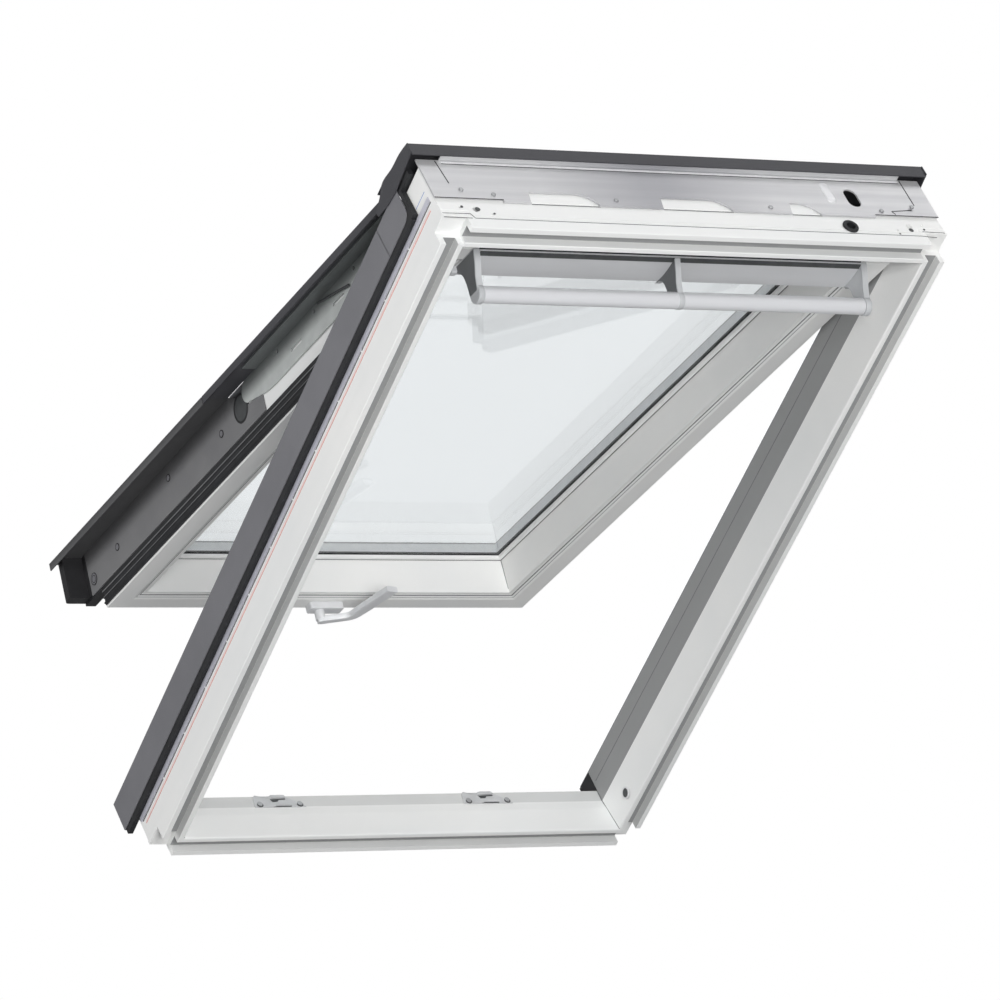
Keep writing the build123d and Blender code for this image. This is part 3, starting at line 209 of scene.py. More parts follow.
def carry(profile, origins, across, up):
    """Profile points (a, b) at each station: origin + a * across + b * up."""
    profile, origins = np.asarray(profile, float), np.asarray(origins, float)
    across, up = np.broadcast_to(across, origins.shape), np.broadcast_to(up, origins.shape)
    a, b = profile[None, :, :1], profile[None, :, 1:]
    return origins[:, None] + a * across[:, None] + b * up[:, None]


def oval(width, height, count=12, power=2.0):
    """Superellipse |a/w|^p + |b/h|^p = 1, with w and h half of the given width and height."""
    t = np.linspace(0, 2 * math.pi, count, endpoint=False)
    c, s = np.cos(t), np.sin(t)
    r = np.sign(np.stack([c, s], -1)) * np.abs(np.stack([c, s], -1)) ** (2 / power)
    return r * (width / 2, height / 2)


def round_rectangle(half, low, high):
    """Corners of a rectangle in (x, u) with the inward mitre direction at each."""
    corners = np.array([(half, low, 0), (half, high, 0), (-half, high, 0), (-half, low, 0)], float)
    inward = np.array([(-1, 1, 0), (-1, -1, 0), (1, -1, 0), (1, 1, 0)], float)
    return corners, inward


def prism(outline, ends, place):
    """Outline points (u, n) carried from one x to the other, set in place."""
    outline, ends = np.asarray(outline, float), np.asarray(ends, float)
    x = np.broadcast_to(ends[:, None, None], (2, len(outline), 1))
    return place(np.concatenate([x, np.broadcast_to(outline, (2, *outline.shape))], -1))


def run(outline, ends, place, sign=1):
    """Outline points (x, n) carried from one u to the other; sign -1 is the mirrored side."""
    outline, ends = np.asarray(outline, float) * (sign, 1), np.asarray(ends, float)
    u = np.broadcast_to(ends[:, None], (2, len(outline)))
    x, n = (np.broadcast_to(outline[:, k], u.shape) for k in (0, 1))
    return place(np.stack([x, u, n], -1))


def rounded(points, cuts, steps=5):
    """Closed outline with round corners.

    Corner c becomes (1-t)^2 a + 2t(1-t) c + t^2 b, with a and b a cut away along its sides."""
    c = np.asarray(points, float)
    cut = np.broadcast_to(cuts, len(c))[:, None]
    back, ahead = np.roll(c, 1, 0) - c, np.roll(c, -1, 0) - c
    a = (c + back / np.linalg.norm(back, axis=1, keepdims=True) * cut)[:, None]
    b = (c + ahead / np.linalg.norm(ahead, axis=1, keepdims=True) * cut)[:, None]
    t = np.linspace(0, 1, steps)[None, :, None]
    return ((1 - t) ** 2 * a + 2 * t * (1 - t) * c[:, None] + t ** 2 * b).reshape(-1, 2)


def flowing(points, steps=6):
    """Open line through points: Catmull-Rom cubics, with the end points doubled."""
    p = np.asarray(points, float)
    p = np.concatenate([p[:1], p, p[-1:]])
    a, b, c, d = (k[:, None] for k in (p[:-3], p[1:-2], p[2:-1], p[3:]))
    t = np.linspace(0, 1, steps)[None, :, None]
    square, cube = 2 * a - 5 * b + 4 * c - d, 3 * b - a - 3 * c + d
    curve = 0.5 * (2 * b + (c - a) * t + square * t ** 2 + cube * t ** 3)
    return curve.reshape(-1, 2)


def turned(stations, spot, place, count=32):
    """Rings of radius r at each station (x, r), round the line across the window through spot (u, n)."""
    x, r = np.asarray(stations, float).T[:, :, None]
    t = np.linspace(0, 2 * math.pi, count, endpoint=False)
    u, n = spot[0] + r * np.cos(t), spot[1] + r * np.sin(t)
    return place(np.stack([np.broadcast_to(x, u.shape), u, n], -1))


def ring(middle, radius, wire, across, along, place, count=24):
    """Superellipse wire (width, height) carried round a circle in the plane of two unit directions."""
    t = np.linspace(0, 2 * math.pi, count, endpoint=False)[:, None]
    out = np.cos(t) * across + np.sin(t) * along
    return place(carry(oval(*wire, 8, 3.0), middle + radius * out, out, np.cross(across, along)))


def round_sash(profile, inset):
    """Profile (inward, n) carried round the sash at an inset from its outer edge, mitred at the corners."""
    corners, inward = round_rectangle(SASH_HALF - inset, SASH_LOW + inset, SASH_HIGH - inset)
    return on_sash(carry(profile, corners, inward, OUT))


def stripe(x, span, level, wide, tall, place):
    """Flat oval at (x, n) carried up the slope from one u to the other."""
    path = np.array([(x, u, level) for u in span], float)
    return place(carry(oval(wide, tall, 8, FLAT), path, ACROSS, OUT))


def score(spans, height, wide):
    """Flat ovals along straight lines (x, n) to (x, n) on the head, at one u."""
    grids = []
    for span in spans:
        path = np.array([(x, height, n) for x, n in span], float)
        side = np.cross(path[1] - path[0], ALONG)
        grids.append(on_frame(carry(oval(wide, 0.3, 8, FLAT), path, side / np.linalg.norm(side), ALONG)))
    return grids


def drawn_in(outline):
    """Outline drawn in towards its middle, for the dark cheek of painted shade on a bracket."""
    return (outline - outline.mean(0)) * CHEEK + outline.mean(0)


def shares(table, corner, size):
    """Points given as shares of a size, from a corner."""
    return np.asarray(table, float) * size + corner


def centres(node, reach):
    """Middles of the separate pieces of a node: points within reach of the first left over are one piece."""
    mesh = frame["nodes"][node].data
    points = np.empty(len(mesh.vertices) * 3, np.float32)
    mesh.vertices.foreach_get("co", points)
    points = points.reshape(-1, 3).astype(float)
    found = []
    while len(points):
        near = np.linalg.norm(points - points[0], axis=1) < reach * MM
        found.append((points[near].min(0) + points[near].max(0)) / 2)
        points = points[~near]
    return found


def put(tree, kind, inputs=None, **settings):
    """Add a node of a kind, give it its settings, and fill or link its inputs."""
    node = tree.nodes.new(kind)
    for key, value in settings.items():
        setattr(node, key, value)
    for key, value in (inputs or {}).items():
        if isinstance(value, bpy.types.NodeSocket):
            tree.links.new(value, node.inputs[key])
        else:
            node.inputs[key].default_value = value
    return node


def cleared(owner):
    """Empty node tree of a new material or world."""
    owner.use_nodes = True
    owner.node_tree.nodes.clear()
    return owner.node_tree


def coat(name, tone, shade, mottle, grain, depth, roughness, spread, stretch=(1, 1, 1), mask=None,
         **sockets):
    """Surface of two close tones: a broad mottle moves the colour, a fine grain moves the roughness and bump.

    tone and shade are hex codes or linear colours, mottle, grain and depth are millimetres, spread is how far
    the roughness moves, stretch squeezes both patterns, and mask adds a third tone where its nodes say so.
    The real grain of most coats and mouldings is too fine to show, so it is drawn coarser."""
    tone, shade = (linear(colour) if isinstance(colour, str) else colour for colour in (tone, shade))
    material = bpy.data.materials.new(name)
    tree = cleared(material)
    place = put(tree, "ShaderNodeTexCoord").outputs["Object"]
    laid = put(tree, "ShaderNodeMapping", {"Vector": place, "Scale": stretch}).outputs[0]
    broad, fine = (
        put(tree, "ShaderNodeTexNoise", {
            "Vector": laid, "Scale": 1 / (size * MM), "Detail": detail}).outputs[0]
        for size, detail in ((mottle, 4.0), (grain, 2.0)))
    spot = put(tree, "ShaderNodeMapRange", {"Value": broad, "From Min": 0.35, "From Max": 0.65}).outputs[0]
    blend = put(tree, "ShaderNodeMix", {"Factor": spot, "A": tone, "B": shade}, data_type="RGBA")
    if mask:
        share, third = mask(tree, place)
        blend = put(tree, "ShaderNodeMix", {
            "Factor": share, "A": blend.outputs["Result"], "B": third}, data_type="RGBA")
    rough = put(tree, "ShaderNodeMapRange", {
        "Value": fine, "From Min": 0.3, "From Max": 0.7,
        "To Min": roughness - spread, "To Max": roughness + spread}).outputs[0]
    bump = put(tree, "ShaderNodeBump", {"Height": fine, "Strength": 0.6, "Distance": depth * MM}).outputs[0]
    shader = put(tree, "ShaderNodeBsdfPrincipled", {
        "Base Color": blend.outputs["Result"], "Roughness": rough, "Normal": bump, **sockets})
    put(tree, "ShaderNodeOutputMaterial", {"Surface": shader.outputs[0]})
    return material


def band(tree, value, low, high, soft=SHARP * MM):
    """1 where low < value < high, with edges that fade over soft to either side."""
    rise = put(tree, "ShaderNodeMapRange", {
        "Value": value, "From Min": low - soft, "From Max": low + soft}).outputs[0]
    fall = put(tree, "ShaderNodeMapRange", {
        "Value": value, "From Min": high + soft, "From Max": high - soft}).outputs[0]
    return put(tree, "ShaderNodeMath", {0: rise, 1: fall}, operation="MULTIPLY").outputs[0]


def flat_axes(tree, place, tip):
    """Axes x, -u and n of a part that stands tipped about x, turned back flat."""
    flat = put(tree, "ShaderNodeMapping", {"Vector": place, "Rotation": (tip, 0, 0)}).outputs[0]
    return put(tree, "ShaderNodeSeparateXYZ", {0: flat}).outputs


def rebate_shade_mask(tree, place):
    """Painted shade: grey in the lining groove and on the rebate's side walls, and a share of it on the sill's
    wall.

    The groove is where the way in from the nearest outer side of the frame lies within its limits."""
    x, y, z = flat_axes(tree, place, PITCH)
    x = put(tree, "ShaderNodeMath", {0: x}, operation="ABSOLUTE").outputs[0]
    side = put(tree, "ShaderNodeMath", {0: HALF_WIDTH * MM, 1: x}, operation="SUBTRACT").outputs[0]
    foot = put(tree, "ShaderNodeMath", {0: y, 1: -1.0}, operation="MULTIPLY").outputs[0]
    head = put(tree, "ShaderNodeMath", {0: y, 1: LENGTH * MM}, operation="ADD").outputs[0]
    end = put(tree, "ShaderNodeMath", {0: foot, 1: head}, operation="MINIMUM").outputs[0]
    near = put(tree, "ShaderNodeMath", {0: side, 1: end}, operation="MINIMUM").outputs[0]
    groove = band(tree, near, GROOVE[0] * MM, GROOVE[1] * MM)
    sunk = band(tree, z, -BEYOND * MM, (GROOVE_TOP - ORIGIN_LEVEL) * MM)
    wall = band(tree, x, (HALF_WIDTH - REBATE - 1) * MM, (HALF_WIDTH - REBATE + 0.4) * MM)
    sill = band(tree, foot, (SILL_FACE - 1) * MM, (SILL_FACE + 0.4) * MM)
    faint = put(tree, "ShaderNodeMath", {0: sill, 1: SILL_SHADE}, operation="MULTIPLY").outputs[0]
    walls = put(tree, "ShaderNodeMath", {0: wall, 1: faint}, operation="MAXIMUM").outputs[0]
    above = band(tree, z, (SPLAY_TOP - ORIGIN_LEVEL + 0.3) * MM, BEYOND * MM)
    low = put(tree, "ShaderNodeMath", {0: groove, 1: sunk}, operation="MULTIPLY").outputs[0]
    high = put(tree, "ShaderNodeMath", {0: walls, 1: above}, operation="MULTIPLY").outputs[0]
    share = put(tree, "ShaderNodeMath", {0: low, 1: high}, operation="MAXIMUM").outputs[0]
    return share, linear("#979898")


def sash_height(level):
    """Height in metres of a level n of the opened sash, once it is turned back flat about the origin."""
    rise = (HINGE_LEVEL - ORIGIN_LEVEL) * math.cos(OPEN) + HINGE_UP * math.sin(OPEN)
    return (rise + level - HINGE_LEVEL) * MM


def level_mask(low, high, soft, tone):
    """Mask for a coat on sash or arms: a tone between two levels n, fading over soft to either side."""
    def mask(tree, place):
        """The share and the tone."""
        z = flat_axes(tree, place, PITCH - OPEN)[2]
        return band(tree, z, sash_height(low), sash_height(high), soft * MM), linear(tone)
    return mask


def plate_reflection_mask(tree, place):
    """Painted reflection on the plate: a darker band across its middle, 1 at its x, falling to 0 over its soft
    edge.
    """
    x = put(tree, "ShaderNodeSeparateXYZ", {0: place}).outputs["X"]
    return band(tree, x, CLOUD[0] * MM, CLOUD[1] * MM, CLOUD_SOFT * MM), linear("#a3a3a8")


def seen_rays(tree):
    """1 on rays from the camera, also through glass."""
    ray = put(tree, "ShaderNodeLightPath").outputs
    return put(tree, "ShaderNodeMath", {
        0: ray["Is Camera Ray"], 1: ray["Is Transmission Ray"]}, operation="MAXIMUM").outputs[0]


def glass_pane(name, tint):
    """Float glass: clear, faintly blue, with the weak waviness of the drawn sheet."""
    material = bpy.data.materials.new(name)
    tree = cleared(material)
    place = put(tree, "ShaderNodeTexCoord").outputs["Object"]
    wave = put(tree, "ShaderNodeTexNoise", {
        "Vector": place, "Scale": 1 / (GLASS_WAVE * MM), "Detail": 1.0}).outputs[0]
    bump = put(tree, "ShaderNodeBump", {"Height": wave, "Strength": 0.05, "Distance": 0.2 * MM}).outputs[0]
    shader = put(tree, "ShaderNodeBsdfPrincipled", {
        "Base Color": tint, "Roughness": 0.0, "IOR": 1.5, "Transmission Weight": 1.0, "Normal": bump})
    put(tree, "ShaderNodeOutputMaterial", {"Surface": shader.outputs[0]})
    return material


def dress(material, *names):
    """Give CAD nodes a finish in their slots; a name ending in _ takes every node that starts with it."""
    for name in names:
        for node, piece in frame["nodes"].items():
            if node == name or (name.endswith("_") and node.startswith(name)):
                if not piece.material_slots:
                    piece.data.materials.append(material)
                for slot in piece.material_slots:
                    slot.material = material


class WindowColours(PropertyGroup):
    """Colours that a user would change."""
    lacquer: FloatVectorProperty(
        name="Lacquer", description="White coat of frame and sash", subtype="COLOR", size=4,
        default=linear("#f4f4f2"))
    cladding: FloatVectorProperty(
        name="Cladding", description="Coated aluminium outside", subtype="COLOR", size=4,
        default=linear("#77777b"))
    hood: FloatVectorProperty(
        name="Hood", description="Coated aluminium of hood and arm covers", subtype="COLOR", size=4,
        default=linear("#414145"))
    brackets: FloatVectorProperty(
        name="Brackets", description="Brackets of the bar", subtype="COLOR", size=4,
        default=linear("#c4c6c8"))
    glass: FloatVectorProperty(
        name="Glass", description="Tint of the panes", subtype="COLOR", size=4,
        default=linear("#f8fafb"))
    cord: FloatVectorProperty(
        name="Sealing line", description="Thin line along the frame sides", subtype="COLOR", size=4,
        default=linear("#c8685f"))


class WindowSizes(PropertyGroup):
    """Sizes that a user would change, in metres."""
    seam: FloatProperty(
        name="Mitre seam", description="Width of the line at each mitre", default=1.2 * MM, unit="LENGTH")
    line: FloatProperty(
        name="Sealing line", description="Width of the line along the frame sides", default=0.9 * MM,
        unit="LENGTH")
    gasket: FloatProperty(
        name="Gasket", description="Width that the two dark gaskets at the glass are shares of",
        default=2.2 * MM, unit="LENGTH")
    # The rod is the dark bar of painted shadow on each arm.
    rod: FloatProperty(
        name="Brace rod", description="Diameter of the rod on each arm", default=4.0 * MM, unit="LENGTH")


class ROOFWINDOW_OT_members(Operator):
    """Finish the white members of frame and sash"""
    bl_idname = "roof_window.members"
    bl_label = "White Members"

    def execute(self, context):
        """Polyurethane over timber, sprayed white: satin, a trace of orange peel, slightly cooler patches."""
        look = (context.scene.window_colours.lacquer, "#eeefee", 240, 1.6, 0.05, 0.42, 0.06)
        # The frame's coat takes painted shade in its lining groove and on the walls of its rebate and sill.
        dress(coat("polyurethane_lacquer_frame", *look, mask=rebate_shade_mask),
              "frame_left", "frame_right", "frame_top", "frame_bottom")
        MADE["lacquer"] = coat("polyurethane_lacquer_sash", *look)
        dress(MADE["lacquer"], "sash_left", "sash_right", "sash_top", "sash_bottom")
        # Extruded PVC is smoother and a little glossier than the lacquer.
        MADE["bead"] = coat("extruded_pvc_white", "#f6f6f5", "#ececec",
                            120, 1.0, 0.02, 0.32, 0.04)
        return {"FINISHED"}


class ROOFWINDOW_OT_cladding(Operator):
    """Finish the coated aluminium outside"""
    bl_idname = "roof_window.cladding"
    bl_label = "Aluminium Cladding"

    def execute(self, context):
        """Roll-formed aluminium with a baked charcoal coat: fine texture, soft gloss."""
        colours = context.scene.window_colours
        MADE["charcoal"] = coat("coated_aluminium_charcoal", colours.cladding, "#727276",
                                90, 0.9, 0.02, 0.5, 0.06)
        dress(MADE["charcoal"], "sill_cladding", "sash_trim_", "sash_bottom_cladding", "sash_top_cladding",
              "cladding_screws")
        # Hood and arm covers have the same coat in a darker tone.
        MADE["hood"] = coat("coated_aluminium_hood", colours.hood, "#3d3d41",
                            120, 0.9, 0.02, 0.5, 0.06)
        dress(MADE["hood"], "hood", "arm_cover_")
        # The side sheets face the arms and keep a duller side of the coat; painted shade darkens them where
        # they turn out under the flange.
        flange_shade = level_mask(FOLD_SHADE, BEYOND, 18, "#383839")
        MADE["side_sheet"] = coat("coated_aluminium_shade", "#7b7b7c", "#727274",
                                  90, 0.9, 0.02, 0.6, 0.06, mask=flange_shade)
        dress(MADE["side_sheet"], "sash_cladding_")
        return {"FINISHED"}


class ROOFWINDOW_OT_metal(Operator):
    """Finish the plate, bar, arms, strikers and screws"""
    bl_idname = "roof_window.metal"
    bl_label = "Bare Metal"

    def execute(self, context):
        """Brushed, pressed, galvanised and passivated steel, anodised aluminium, nickel and zinc plating."""
        # Brushing draws the plate's pattern out into fine bright streaks across the window.
        # A darker band across the plate's middle is a painted reflection.
        MADE["plate"] = coat("brushed_steel_plate", "#d4d4d5", "#c8c8ca",
                             14, 1.2, 0.01, 0.4, 0.06, stretch=(0.03, 1, 1), mask=plate_reflection_mask, Metallic=0.4)
        dress(MADE["plate"], "top_rail")
        # Pressed sheet without brushing: paler and more even than the plate.
        MADE["boss"] = coat("pressed_steel_boss", "#ededee", "#e2e2e4",
                            14, 1.2, 0.01, 0.4, 0.06, Metallic=0.2)
        # Hot zinc is mottled; painted shade darkens it under the flange of the arm.
        zinc = coat("galvanised_steel", "#cfd3d1", "#c6cac8", 26, 2.0, 0.005, 0.46, 0.05,
                    mask=level_mask(ARM_SHADE, BEYOND, 16, "#55595a"), Metallic=0.3)
        dress(zinc, "arm_left", "arm_right", "hinge_bracket_", "hinge_pins", "pivot_pins")
        # Passivated zinc gives the strips a cool, faintly violet grey.
        MADE["strip"] = coat("passivated_steel_strip", "#d9d9e3", "#cfcfda",
                             40, 1.2, 0.005, 0.4, 0.05, Metallic=0.4)
        # Anodised tube: bright and smooth, with faint draw lines along it.
        MADE["bar"] = coat("anodised_aluminium_bar", "#eff0f2", "#e9eaed",
                           60, 0.7, 0.0008, 0.3, 0.02, stretch=(0.05, 1, 1), Metallic=0.3)
        # Nickel plating on screws and the cable ring: mid grey with soft reflections.
        MADE["nickel"] = coat("nickel_plated_zinc", "#b4b5b6", "#a5a6a8",
                              20, 0.8, 0.01, 0.36, 0.06, Metallic=0.5)
        dress(MADE["nickel"], "striker_screws", "plate_screws")
        dress(MADE["boss"], "bolt_bushing")
        # Zinc plating on stamped sheet: light grey, hardly mirroring.
        MADE["striker"] = coat("zinc_plated_striker", "#d3d4d5", "#c9cacb",
                               20, 0.8, 0.01, 0.4, 0.06, Metallic=0.2)
        return {"FINISHED"}


class ROOFWINDOW_OT_mouldings(Operator):
    """Finish the moulded and rubber pieces"""
    bl_idname = "roof_window.mouldings"
    bl_label = "Mouldings and Seals"

    def execute(self, context):
        """Moulded plastic, the metal of flap and handle, rubber, shade lines and the spacer in the glass."""
        # A spark-eroded mould gives ABS an even, matt grain; the darker grey cheeks on the brackets' sides are
        # painted shade.
        spark = (40, 0.8, 0.01, 0.45, 0.05)
        tone = context.scene.window_colours.brackets
        MADE["bracket"] = coat("moulded_abs_grey", tone, "#bcbec0", *spark)
        dress(MADE["bracket"], "vent_knuckles")
        MADE["cheek"] = coat("bracket_cheek_painted_shade", "#6c6e70", "#646668", *spark)
        # Extruded aluminium: pale, with faint die lines along the flap.
        MADE["flap"] = coat("extruded_aluminium_flap", "#dcdddf", "#d4d5d7",
                            70, 0.8, 0.008, 0.42, 0.05, stretch=(0.1, 1, 1), Metallic=0.2)
        # Cast zinc under lacquer: pale and smooth, with a soft shine.
        MADE["lever"] = coat("cast_zinc_lacquered", "#ecedee", "#e3e4e6",
                             30, 1.0, 0.004, 0.36, 0.03, Metallic=0.15)
        dress(MADE["lever"], "handle_base")
        # Moulded polyamide: near black and matt, with a deeper grain; the same black gives the screws' star
        # recesses their painted shade.
        MADE["black"] = coat("moulded_polyamide_black", "#232325", "#1b1b1d",
                             30, 0.8, 0.04, 0.55, 0.08)
        dress(MADE["black"], "lower_corner_")
        # EPDM is matt black, with hardly a highlight.
        MADE["rubber"] = coat("epdm_rubber_black", "#191a1c", "#222326",
                              18, 0.6, 0.02, 0.62, 0.08)
        dress(MADE["rubber"], "sash_seal", "cable_bushing")
        # Dull grey lines in the lacquer: painted shade in the sash's groove and along its chamfer's edge, and
        # the dark mitre seams and joint lines.
        dull = (30, 0.8, 0.01, 0.6, 0.05)
        MADE["groove"] = coat("lacquer_groove_shade", "#6f7071", "#78797a", *dull)
        MADE["primer"] = coat("lacquer_edge_shade", "#a9aaab", "#b1b2b3", *dull)
        # Dark grey polyamide, matt: plugs and dark lines; the same grey is painted shade and shadow on the
        # floors of holes and wells, in the strips along rail, cut-outs, flap and strikers, and in the bar on
        # each arm.
        MADE["plug_and_shade"] = coat("polyamide_grey_and_painted_shade", "#4c4e4f", "#444647",
                                 12, 0.8, 0.01, 0.5, 0.05)
        # Bright foil, with black butyl under its foot.
        butyl = level_mask(-BEYOND, SPACER_FOOT, SHARP, "#25282b")
        MADE["spacer"] = coat("spacer_foil_silver", "#eceeef", "#e4e7e9",
                              12, 0.6, 0.01, 0.4, 0.05, mask=butyl)
        return {"FINISHED"}


class ROOFWINDOW_OT_glass(Operator):
    """Finish the two panes"""
    bl_idname = "roof_window.glass"
    bl_label = "Glass"

    def execute(self, context):
        """Both panes take one float glass."""
        pane = glass_pane("float_glass_clear", context.scene.window_colours.glass)
        dress(pane, "glass_inner", "glass_outer")
        return {"FINISHED"}


class ROOFWINDOW_OT_glass_edge(Operator):
    """Make the bead and the spacer round the glass"""
    bl_idname = "roof_window.glass_edge"
    bl_label = "Glass Edge"

    def execute(self, context):
        """Soft-cornered strips (a superellipse of high power) carried round the glass, mitred."""
        for name, node, inset, width, low, high, material, slot in (
                ("bead_strip", "glazing_bead", 50.0, 6.0, 103.7, 109.7, "bead", "bead_white"),
                ("spacer_strip", "glass_spacer", 48.0, 12.0, 114.3, 128.7, "spacer", "spacer_black")):
            profile = oval(width, high - low, 24, BOXY) + (0, (low + high) / 2)
            grid = round_sash(profile, inset + width / 2)
            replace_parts(skin(name, [grid], material, "sash", wrap_rows=True), node)
        return {"FINISHED"}


class ROOFWINDOW_OT_gaskets(Operator):
    """Make the lines round the sash: the groove's bed, painted shade in the groove and on the chamfer's edge,
    and the dark gaskets at the glass
    """
    bl_idname = "roof_window.gaskets"
    bl_label = "Sash Lines and Gaskets"

    def execute(self, context):
        """Flat ovals carried round the sash, mitred; those on the chamfer are turned to its slope."""
        slope = CHAMFER_RISE / CHAMFER
        lean = math.atan(slope)
        tilt = np.array([(math.cos(lean), math.sin(lean)), (-math.sin(lean), math.cos(lean))])
        shadow, edge = 37.0, 32.8
        on_shadow, on_edge = (CHAMFER_FOOT + (inset - CHAMFER_START) * slope for inset in (shadow, edge))
        for name, inset, wide, level, turn, material in (
                ("sash_groove_bed", 41.5, 5.0, 53.5, np.eye(2), "lacquer"),
                ("sash_shadow_line", shadow, 1.7, on_shadow, tilt, "groove"),
                ("sash_edge_line", edge, 1.2, on_edge, tilt, "primer")):
            grid = round_sash(oval(wide, 0.6, 12, FLAT) @ turn + (0, level), inset)
            skin(name, [grid], material, "sash", wrap_rows=True)
        width = context.scene.window_sizes.gasket / MM
        grids = [round_sash(oval(width * share, 0.9, 8, 3.0) + (0, level), inset)
                 for inset, level, share in ((49.6, 103.9, 0.5), (56.0, 109.4, 0.4))]
        skin("glass_gaskets", grids, "rubber", "sash", wrap_rows=True)
        return {"FINISHED"}


class ROOFWINDOW_OT_vent(Operator):
    """Make the ventilation flap, its control bar and the three brackets"""
    bl_idname = "roof_window.vent"
    bl_label = "Vent Flap and Bar"

    def execute(self, context):
        """Tube on discs, brackets from one outline, and a flap bent along a parabola through three points."""
        corner = (SASH_HIGH - VENT_BACK, BAR[1])
        near = BAR_HALF + BRACKET_GAP
        far = near + BRACKET_WIDE
        bracket = rounded(shares(BRACKET_SHARES, corner, VENT_SIZE), (1, 3, 7, 8, 2, 2, 5, 6, 1, 1))
        tube = [(-BAR_HALF, BAR_R - 1), (1 - BAR_HALF, BAR_R), (BAR_HALF - 1, BAR_R), (BAR_HALF, BAR_R - 1)]
        piece = skin("bar_tube", [turned(tube, BAR, on_sash, 48)], "bar", "vent",
                     smooth=True)
        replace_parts(piece, "control_bar")
        disc = [(near - 0.2, BAR_R + 0.6), (near + 1, BAR_R + 1.6),
                (far - 1.4, BAR_R + 1.6), (far - 0.4, BAR_R + 0.6)]
        eye = [(near + 0.4, 4.4), (far + 6.5, 4.4)]
        for side, sign in SIDES:
            grids = [prism(bracket, np.array((near, far)) * sign, on_sash)]
            grids += [turned(np.array(line) * (sign, 1), spot, on_sash)
                      for line, spot in ((disc, BAR), (eye, VENT))]
            piece = skin("bar_end_" + side, grids, "bracket", "vent", smooth=True)
            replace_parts(piece, "bar_bracket_" + side)
            # A dark cheek on the outer side of each bracket is painted shade.
            sheet = prism(drawn_in(bracket), np.array((far, far + 0.3)) * sign, on_sash)
            skin("bar_cheek_" + side, [sheet], "cheek", "vent")
        flap = shares(FLAP_SHARES, corner, VENT_SIZE)
        bend = np.polyfit(*flap.T, 2)
        u = np.linspace(flap[0, 0], flap[-1, 0], 14)
        face = np.stack([u, np.polyval(bend, u)], -1)
        panel = prism(np.concatenate([face, face[::-1] + (0, FLAP_WALL)]), (-BAR_HALF, BAR_HALF), on_sash)
        piece = skin("vent_panel", [panel], "flap", "vent", smooth=True)
        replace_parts(piece, "vent_flap")
        # A dark strip along the flap's top edge is painted shadow, for the gap under the frame's nose.
        top = face[-3:]
        edge = np.concatenate([top - (0, 0.1), top[::-1] - (0, 0.4)])
        edge = prism(edge, (0.2 - BAR_HALF, BAR_HALF - 0.2), on_sash)
        skin("vent_top_shadow", [edge], "plug_and_shade", "vent")
        fin = bracket.copy()
        fin[:, 1] = np.minimum(fin[:, 1], np.polyval(bend, fin[:, 0]) - 0.3)
        collar = [(1, BAR_R + 0.3), (2, BAR_R + 0.6), (8, BAR_R + 0.6), (9, BAR_R + 0.3)]
        # Dark cheeks on both sides of the middle fin are painted shade.
        sheets = [prism(drawn_in(fin), ends, on_sash) for ends in ((0.6, 0.9), (9.1, 9.4))]
        skin("bar_fin_cheeks", sheets, "cheek", "vent")
        grids = [prism(fin, (1, 9), on_sash), turned(collar, BAR, on_sash)]
        piece = skin("bar_fin", grids, "bracket", "vent", smooth=True)
        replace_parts(piece, "bar_bracket_middle")
        # A rubber gasket along the sash's upper edge; it is there to darken the gap above the flap, so it is
        # partly a real part and partly painted shadow.
        rib = oval(8.0, 1.6, 10, FLAT) + (SASH_HIGH + 1, 48.2)
        path = np.array([(-BAR_HALF, 0, 0), (BAR_HALF, 0, 0)])
        gasket = on_sash(carry(rib, path, ALONG, OUT))
        skin("vent_gasket_and_shadow", [gasket], "rubber", "sash")
        return {"FINISHED"}


